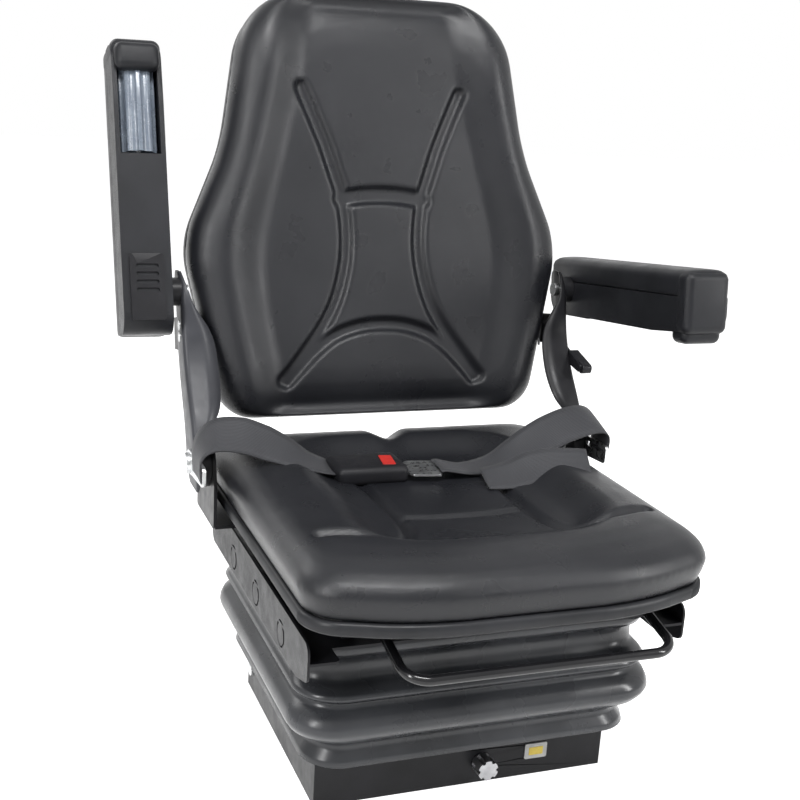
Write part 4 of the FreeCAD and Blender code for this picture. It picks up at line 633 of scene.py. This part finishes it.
# dish between the bolsters, and the channels of the ladder and the arch
def backForm(spots):
    values = backSet
    x, y, z = spots.T
    upper = ease(values["shapedFrom"], values["shapedFully"], z)
    dish = values["dish"]
    sideRoom = backHalf(y) - dish["inset"] - numpy.abs(x)
    endRoom = numpy.minimum(y + dish["run"], values["height"] + dish["run"] - y)
    blend = dish["blend"]
    room = -numpy.log(numpy.exp(-sideRoom / blend) + numpy.exp(-endRoom / blend)) * blend
    fall = -dish["deep"] * ease(-dish["slope"] / 2, dish["slope"] / 2, room)
    legGap = lineDistance(numpy.abs(x), y, values["leg"])
    archGap = lineDistance(x, y, values["arch"])
    rungGap = lineDistance(x, y, values["rung"])
    cutIn = numpy.maximum(groove(numpy.minimum(legGap, archGap), values["half"], values["wall"]),
                          groove(rungGap, values["rungHalf"], values["wall"]))
    fall -= values["deep"] * cutIn
    moved = numpy.zeros_like(spots)
    moved[:, 2] = fall * upper
    return moved


def makeBackCushion():
    values = backSet
    levels = [(z, backPlan(inset)) for z, inset in values["levels"]]
    bm = remeshed(loftLoops(levels, values["cornerCuts"]), values["voxel"])
    smoothed(bm, values["rounds"], [vert for vert in bm.verts if vert.co.z > values["softFrom"]])
    sculpt(bm, backForm)
    smoothed(bm, 1, [vert for vert in bm.verts if vert.co.z > values["topFrom"]])
    piece = makePiece("backrestCushion", bm, finish["vinyl"], "backrest", place=backPlace())
    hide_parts("backrest_cushion")


makeBackCushion()
print("stage: the backrest cushion is moulded")

# Bellows

bellowsSet = {
    # height, half width, front depth, rear depth
    "levels": ((52, 176, 150, 150), (54.5, 180, 157, 156), (60, 188, 177, 171), (68, 195, 189, 181),
               (75, 193, 187, 179), (82, 187, 181, 173), (88, 185, 179, 171), (95, 190, 185, 176),
               (101, 200, 195, 186), (107, 208, 203, 194), (114, 212.5, 208.5, 198), (120, 214, 211, 200),
               (127, 213, 209, 199), (134, 210, 204, 196), (139, 203, 196, 190), (143, 198, 190, 186),
               (146.5, 200, 192.5, 187), (150.5, 206, 200, 192), (155, 208, 202.5, 193.5),
               (159, 205.5, 197, 191), (162, 203.5, 182, 189.5), (165, 203, 176, 189),
               (178, 203, 174.5, 189), (190, 203, 175, 189), (194, 203.5, 181, 189.5),
               (198, 204.5, 192, 190.5), (205, 205, 196, 191), (209, 205, 195.5, 191), (213, 205, 194, 191)),
    "corner": 34, "narrow": 176, "cornerCuts": 10, "wall": 2.4, "keep": 0.52, "foot": 52,
}


def makeBellows():
    bm = bmesh.new()
    loops = []
    for height, half, front, rear in bellowsSet["levels"]:
        corner = bellowsSet["corner"] + (half - bellowsSet["narrow"]) / 2
        plan = [(-half, -front, corner), (half, -front, corner), (half, rear, corner), (-half, rear, corner)]
        loops.append(roundedLoop(bm, plan, height, bellowsSet["cornerCuts"]))
    for lower, upper in zip(loops, loops[1:]):
        bmesh.ops.bridge_loops(bm, edges=lower + upper)
    piece = makePiece("bellowsSkin", bm, finish["bellowsRubber"], "base")
    wall = piece.modifiers.new("wall", "SOLIDIFY")
    wall.thickness = bellowsSet["wall"] / metre
    wall.offset = -1
    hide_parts("bellows")
    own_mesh(piece)


makeBellows()
print("stage: the bellows are folded")

# Armrests: x across, y along towards the hinge, z out of the pad, all about the hinge

restSet = {
    "pivotY": 215, "pivotZ": 500, "in": 270, "width": 58, "rear": 52, "front": -291, "low": 10.2, "high": 40,
    "down": 6.8, "up": 107.4, "edge": 10, "edgeCuts": 8, "corner": 4, "cornerCuts": 4, "crown": 2.2,
    "voxel": 2.6, "rounds": 5,
}


def restPlace(side):
    angle = math.radians(restSet["down"] if side > 0 else restSet["up"])
    return Matrix.Translation((0, restSet["pivotY"], restSet["pivotZ"])) @ Matrix.Rotation(-angle, 4, "X")


# soft upper half, rounded along its edges and a little crowned
def makeRestPad(side):
    name = "left" if side > 0 else "right"
    values = restSet
    bm = bmesh.new()
    bmesh.ops.create_cube(bm, size=1)
    size = Vector((values["width"], values["rear"] - values["front"], values["high"] - values["low"]))
    bmesh.ops.scale(bm, vec=size, verts=bm.verts)
    middle = Vector((side * (values["in"] + values["width"] / 2), (values["rear"] + values["front"]) / 2,
                     (values["high"] + values["low"]) / 2))
    bmesh.ops.translate(bm, vec=middle, verts=bm.verts)
    top = [edge for edge in bm.edges if all(vert.co.z > middle.z for vert in edge.verts)]
    bmesh.ops.bevel(bm, geom=top, offset=values["edge"], offset_type="OFFSET", segments=values["edgeCuts"],
                    profile=0.5, affect="EDGES", material=-1)
    upright = [edge for edge in bm.edges if abs(edge.verts[0].co.z - edge.verts[1].co.z) > values["edge"]]
    bmesh.ops.bevel(bm, geom=upright, offset=values["corner"], offset_type="OFFSET",
                    segments=values["cornerCuts"], profile=0.5, affect="EDGES", material=-1)
    bmesh.ops.triangulate(bm, faces=[face for face in bm.faces if len(face.verts) > 4])
    bm = remeshed(bm, values["voxel"])
    smoothed(bm, values["rounds"])

    def crown(spots):
        moved = numpy.zeros_like(spots)
        across = (spots[:, 0] - middle.x) / (values["width"] / 2)
        moved[:, 2] = values["crown"] * (1 - across ** 2) * ease(middle.z, values["high"], spots[:, 2])
        return moved

    sculpt(bm, crown)
    piece = makePiece("armrestPad_" + name, bm, finish["armrestSkin"], "armrest_" + name,
                      place=restPlace(side))
    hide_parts("armrest_pad_" + name)


for side in (1, -1):
    makeRestPad(side)
print("stage: the armrest pads are shaped")


blockCuts = 6


# a block with all its edges rounded, about its middle
def roundedBlock(size, middle, edge):
    bm = bmesh.new()
    bmesh.ops.create_cube(bm, size=1)
    bmesh.ops.scale(bm, vec=size, verts=bm.verts)
    bmesh.ops.bevel(bm, geom=bm.edges[:], offset=edge, offset_type="OFFSET", segments=blockCuts, profile=0.5,
                    affect="EDGES", material=-1)
    bmesh.ops.translate(bm, vec=middle, verts=bm.verts)
    return bm


noseSet = {"front": {"size": (58.6, 28, 73), "y": -279, "z": 3, "edge": 10},
           "lip": {"size": (52, 32, 22), "y": -270, "z": -34, "edge": 9}}


# rounded end of an armrest and the lip under it
def makeNose(side):
    name = "left" if side > 0 else "right"
    middle = side * (restSet["in"] + restSet["width"] / 2)
    for part, values in noseSet.items():
        bm = roundedBlock(values["size"], (middle, values["y"], values["z"]), values["edge"])
        makePiece("armrest" + part.capitalize() + "_" + name, bm, finish["armrestSkin"], "armrest_" + name,
                  place=restPlace(side))


for side in (1, -1):
    makeNose(side)
print("stage: the armrest ends are rounded")

# Pressed side arms, each a web with a flange turned inwards along its front edge

armSet = {
    "x": 256, "y": 125, "z": 312, "rake": 0.4787, "thick": 3.6, "bend": 5, "sharp": 35,
    "webCuts": 3, "bendCuts": 4, "flangeCuts": 2,
    # height, front and rear edge from the arm's middle line, width of the flange
    "rows": ((286, -18, 18, 1.5), (294, -25, 25, 2), (312, -29, 28, 3), (330, -27, 26, 4), (345, -24, 25, 11),
             (358, -22, 26, 24), (374, -18, 28, 34), (396, -11, 31, 38), (420, -7, 31, 38), (442, -7, 29, 36),
             (460, -10, 25, 30), (476, -14, 22, 20), (490, -18, 20, 12), (502, -19, 19, 8), (512, -17, 17, 5),
             (519, -13, 13, 3), (523, -8, 8, 2)),
}


def makeSideArm(side):
    name = "left" if side > 0 else "right"
    values = armSet
    rows = smoothLine([Vector(row) for row in values["rows"]], 4)
    webEnd = values["webCuts"]
    bendEnd = webEnd + values["bendCuts"]
    columns = bendEnd + values["flangeCuts"]
    bm = bmesh.new()
    bmesh.ops.create_grid(bm, x_segments=columns, y_segments=len(rows) - 1, size=0.5)
    for vert in bm.verts:
        height, front, rear, flange = rows[round((vert.co.y + 0.5) * (len(rows) - 1))]
        column = round((vert.co.x + 0.5) * columns)
        middle = values["y"] + values["rake"] * (height - values["z"])
        bend = min(values["bend"], flange)
        if column <= webEnd:  # web, rear to front
            across, along = 0, rear + (front + bend - rear) * column / webEnd
        elif column <= bendEnd:  # rounded bend
            angle = math.radians(90) * (column - webEnd) / values["bendCuts"]
            across, along = bend * (1 - math.cos(angle)), front + bend * (1 - math.sin(angle))
        else:
            across, along = bend + (flange - bend) * (column - bendEnd) / values["flangeCuts"], front
        vert.co = (side * (values["x"] - across), middle + along, height)
    # painted shade: the far arm gets black paint, while the near arm keeps the arms' own grey
    paintWithFarShade = finish["greyPaint" if side < 0 else "blackPaint"]
    arm = makePiece("sideArm_" + name, bm, paintWithFarShade, "backrest", sharp=values["sharp"])
    wall = arm.modifiers.new("wall", "SOLIDIFY")
    wall.thickness = values["thick"] / metre
    wall.offset = 0
    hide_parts("side_arm_" + name)


for side in (1, -1):
    makeSideArm(side)
print("stage: the side arms are pressed")

# Lap belt

beltSet = {
    "width": 47, "thick": 1.5, "crown": 0.9, "rows": 6, "steps": 9,
    # stations of the centre line: x, y, z, then the turn of the width in plan and the rise of its rear edge
    "right": ((-260.6, 76, 310, 0, 0), (-261.5, 75, 336, 0, 8), (-253, 73, 353, 0, 24),
              (-236, 70, 362, 0, 38), (-210, 65, 361, 5, 46), (-184, 61, 352, 8, 44), (-158, 57, 341, 9, 30),
              (-134, 53, 330, 8, 12), (-106, 50, 321, 8, 2)),
    "left": ((260.6, 76, 310, 0, 0), (262, 74, 338, 0, 6), (255, 71, 354, 0, 20), (236, 66, 361, -4, 34),
             (206, 60, 358, -8, 42), (178, 55, 350, -12, 42), (150, 48, 340, -14, 32),
             (124, 42, 329, -14, 18), (98, 39, 318, -12, 8), (60, 35, 315.5, -6, 0), (27, 32, 322.2, 5, 0),
             (19, 32, 322.2, 5, 0)),
    "tail": ((62, -12, 318, 12, 12), (96, -17, 323, 10, 26), (122, -18, 331, 8, 34), (150, -24, 336, 8, 34),
             (188, -34, 338, 8, 24)),
    # lengths laid flat, in metres
    "flat": {"right": 0.2045, "left": 0.2961, "tail": 0.1305},
}


# centre, width direction and outward direction every few millimetres along a strap
def smoothStations(stations):
    steps = beltSet["steps"]
    spots = smoothLine([Vector(station[:3]) for station in stations], steps)
    turns = [station[3] for station in stations]
    rises = [station[4] for station in stations]
    line = []
    for i, spot in enumerate(spots):
        ahead = spots[min(i + 1, len(spots) - 1)] - spots[max(i - 1, 0)]
        turn = math.radians(numpy.interp(i / steps, range(len(turns)), turns))
        rise = math.radians(numpy.interp(i / steps, range(len(rises)), rises))
        level = math.cos(rise)
        across = Vector((math.sin(turn) * level, math.cos(turn) * level, math.sin(rise)))
        across = (across - ahead * (across.dot(ahead) / ahead.dot(ahead))).normalized()
        out = across.cross(ahead).normalized()
        line.append((spot, across, out))
    return line


# a strip of webbing bent along its stations, with a map in millimetres
def makeStrap(name, run):
    line = smoothStations(beltSet[run])
    bm = bmesh.new()
    layer = bm.loops.layers.uv.new("weave")
    bmesh.ops.create_grid(bm, x_segments=len(line) - 1, y_segments=beltSet["rows"], size=0.5, calc_uvs=True)
    travelled = [0.0]
    for a, b in zip(line, line[1:]):
        travelled.append(travelled[-1] + (b[0] - a[0]).length)
    for vert in bm.verts:
        index = round((vert.co.x + 0.5) * (len(line) - 1))
        spot, across, out = line[index]
        share = vert.co.y
        crown = beltSet["crown"] * (1 - 4 * share * share)
        vert.co = spot + across * (share * beltSet["width"]) + out * crown
    for face in bm.faces:
        for loop in face.loops:
            spot = loop[layer].uv
            spot.x, spot.y = travelled[-1] * spot.x, beltSet["width"] * spot.y
    piece = makePiece(name, bm, finish["webbing"], "seat")
    body = piece.modifiers.new("body", "SOLIDIFY")
    body.thickness = beltSet["thick"] / metre
    body.offset = 0
    print(name, "runs", round(travelled[-1], 1), "mm")
    return piece


strapRight = makeStrap("beltStrapRight", "right")
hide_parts("belt_webbing_right")
strapLeft = makeStrap("beltStrapLeft", "left")
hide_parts("belt_webbing_left")
strapTail = makeStrap("beltTail", "tail")
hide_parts("belt_tail")
buckleSet = {"size": (87, 62, 22), "middle": (-66, 44, 319.4), "edge": 7.5}
buckleCase = makePiece("buckleCase", roundedBlock(buckleSet["size"], buckleSet["middle"], buckleSet["edge"]),
                       finish["blackPlastic"], "seat")
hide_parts("buckle_body")
print("stage: the lap belt is laid")

# Coloured pane of the weight window

paneSet = {"size": (18, 1.6, 10), "middle": (90, -151.4, 31), "edge": 0.6}
makePiece("weightPane", roundedBlock(paneSet["size"], paneSet["middle"], paneSet["edge"]),
          finish["windowYellow"], "base")
print("stage: the window has its pane")

# Finishes and softened edges of the construction's own solids

nodeFinish = {
    "blackPaint": ("base_frame", "roller_tracks_lower", "roller_tracks_upper", "upper_frame", "outer_links",
                   "inner_links", "slide_rails_lower", "slide_rails_upper", "hinge_brackets",
                   "recliner_discs", "back_frame", "seat_pan", "damper_foot", "damper_head", "damper_tube",
                   "spring_carrier", "armrest_spacers"),
    "glossBlack": ("slide_handle",),
    "zinc": ("arm_screws", "armrest_bolts", "hinge_bolts", "belt_anchors", "belt_tongue", "hinge_shaft_lower",
             "hinge_shaft_upper", "lever_pin", "handle_pins", "damper_rod", "armrest_axle_left",
             "armrest_axle_right"),
    "springSteel": ("suspension_springs", "return_spring", "weight_knob"),
    "blackPlastic": ("backrest_shell", "skirt", "armrest_cover_left", "armrest_cover_right",
                     "recliner_lever", "lower_rollers", "upper_rollers"),
    "armrestSkin": ("armrest_housing_left", "armrest_housing_right"),
    "wheelPlastic": ("armrest_wheel_left", "armrest_wheel_right"),
    "buttonRed": ("buckle_button",),
    "windowGrey": ("weight_window",),
}
# how wide the softened edges of a node are
edgeSet = {"base_frame": 1.0, "hinge_brackets": 1.0, "skirt": 0.8, "backrest_shell": 1.5,
           "armrest_housing_left": 3.0, "armrest_housing_right": 3.0, "armrest_cover_left": 0.6,
           "armrest_cover_right": 0.6, "recliner_lever": 1.2, "belt_anchors": 0.5, "back_frame": 0.8,
           "seat_pan": 0.6, "buckle_button": 0.5, "belt_tongue": 0.3, "armrest_wheel_left": 0.6,
           "armrest_wheel_right": 0.6}
edgeRule = {"join": 0.02, "segments": 2, "angle": 40}


def dressNodes():
    for finishName, names in nodeFinish.items():
        for name in names:
            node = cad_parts[name]
            for i in range(len(node.material_slots)):
                node.material_slots[i].material = finish[finishName]
    for name, width in edgeSet.items():
        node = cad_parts[name]
        weld = node.modifiers.new("weld", "WELD")
        weld.merge_threshold = edgeRule["join"] / metre
        edge = node.modifiers.new("edge", "BEVEL")
        edge.width = width / metre
        edge.segments = edgeRule["segments"]
        edge.limit_method = "ANGLE"
        edge.angle_limit = math.radians(edgeRule["angle"])


dressNodes()
print("stage: the steel and plastic are finished")
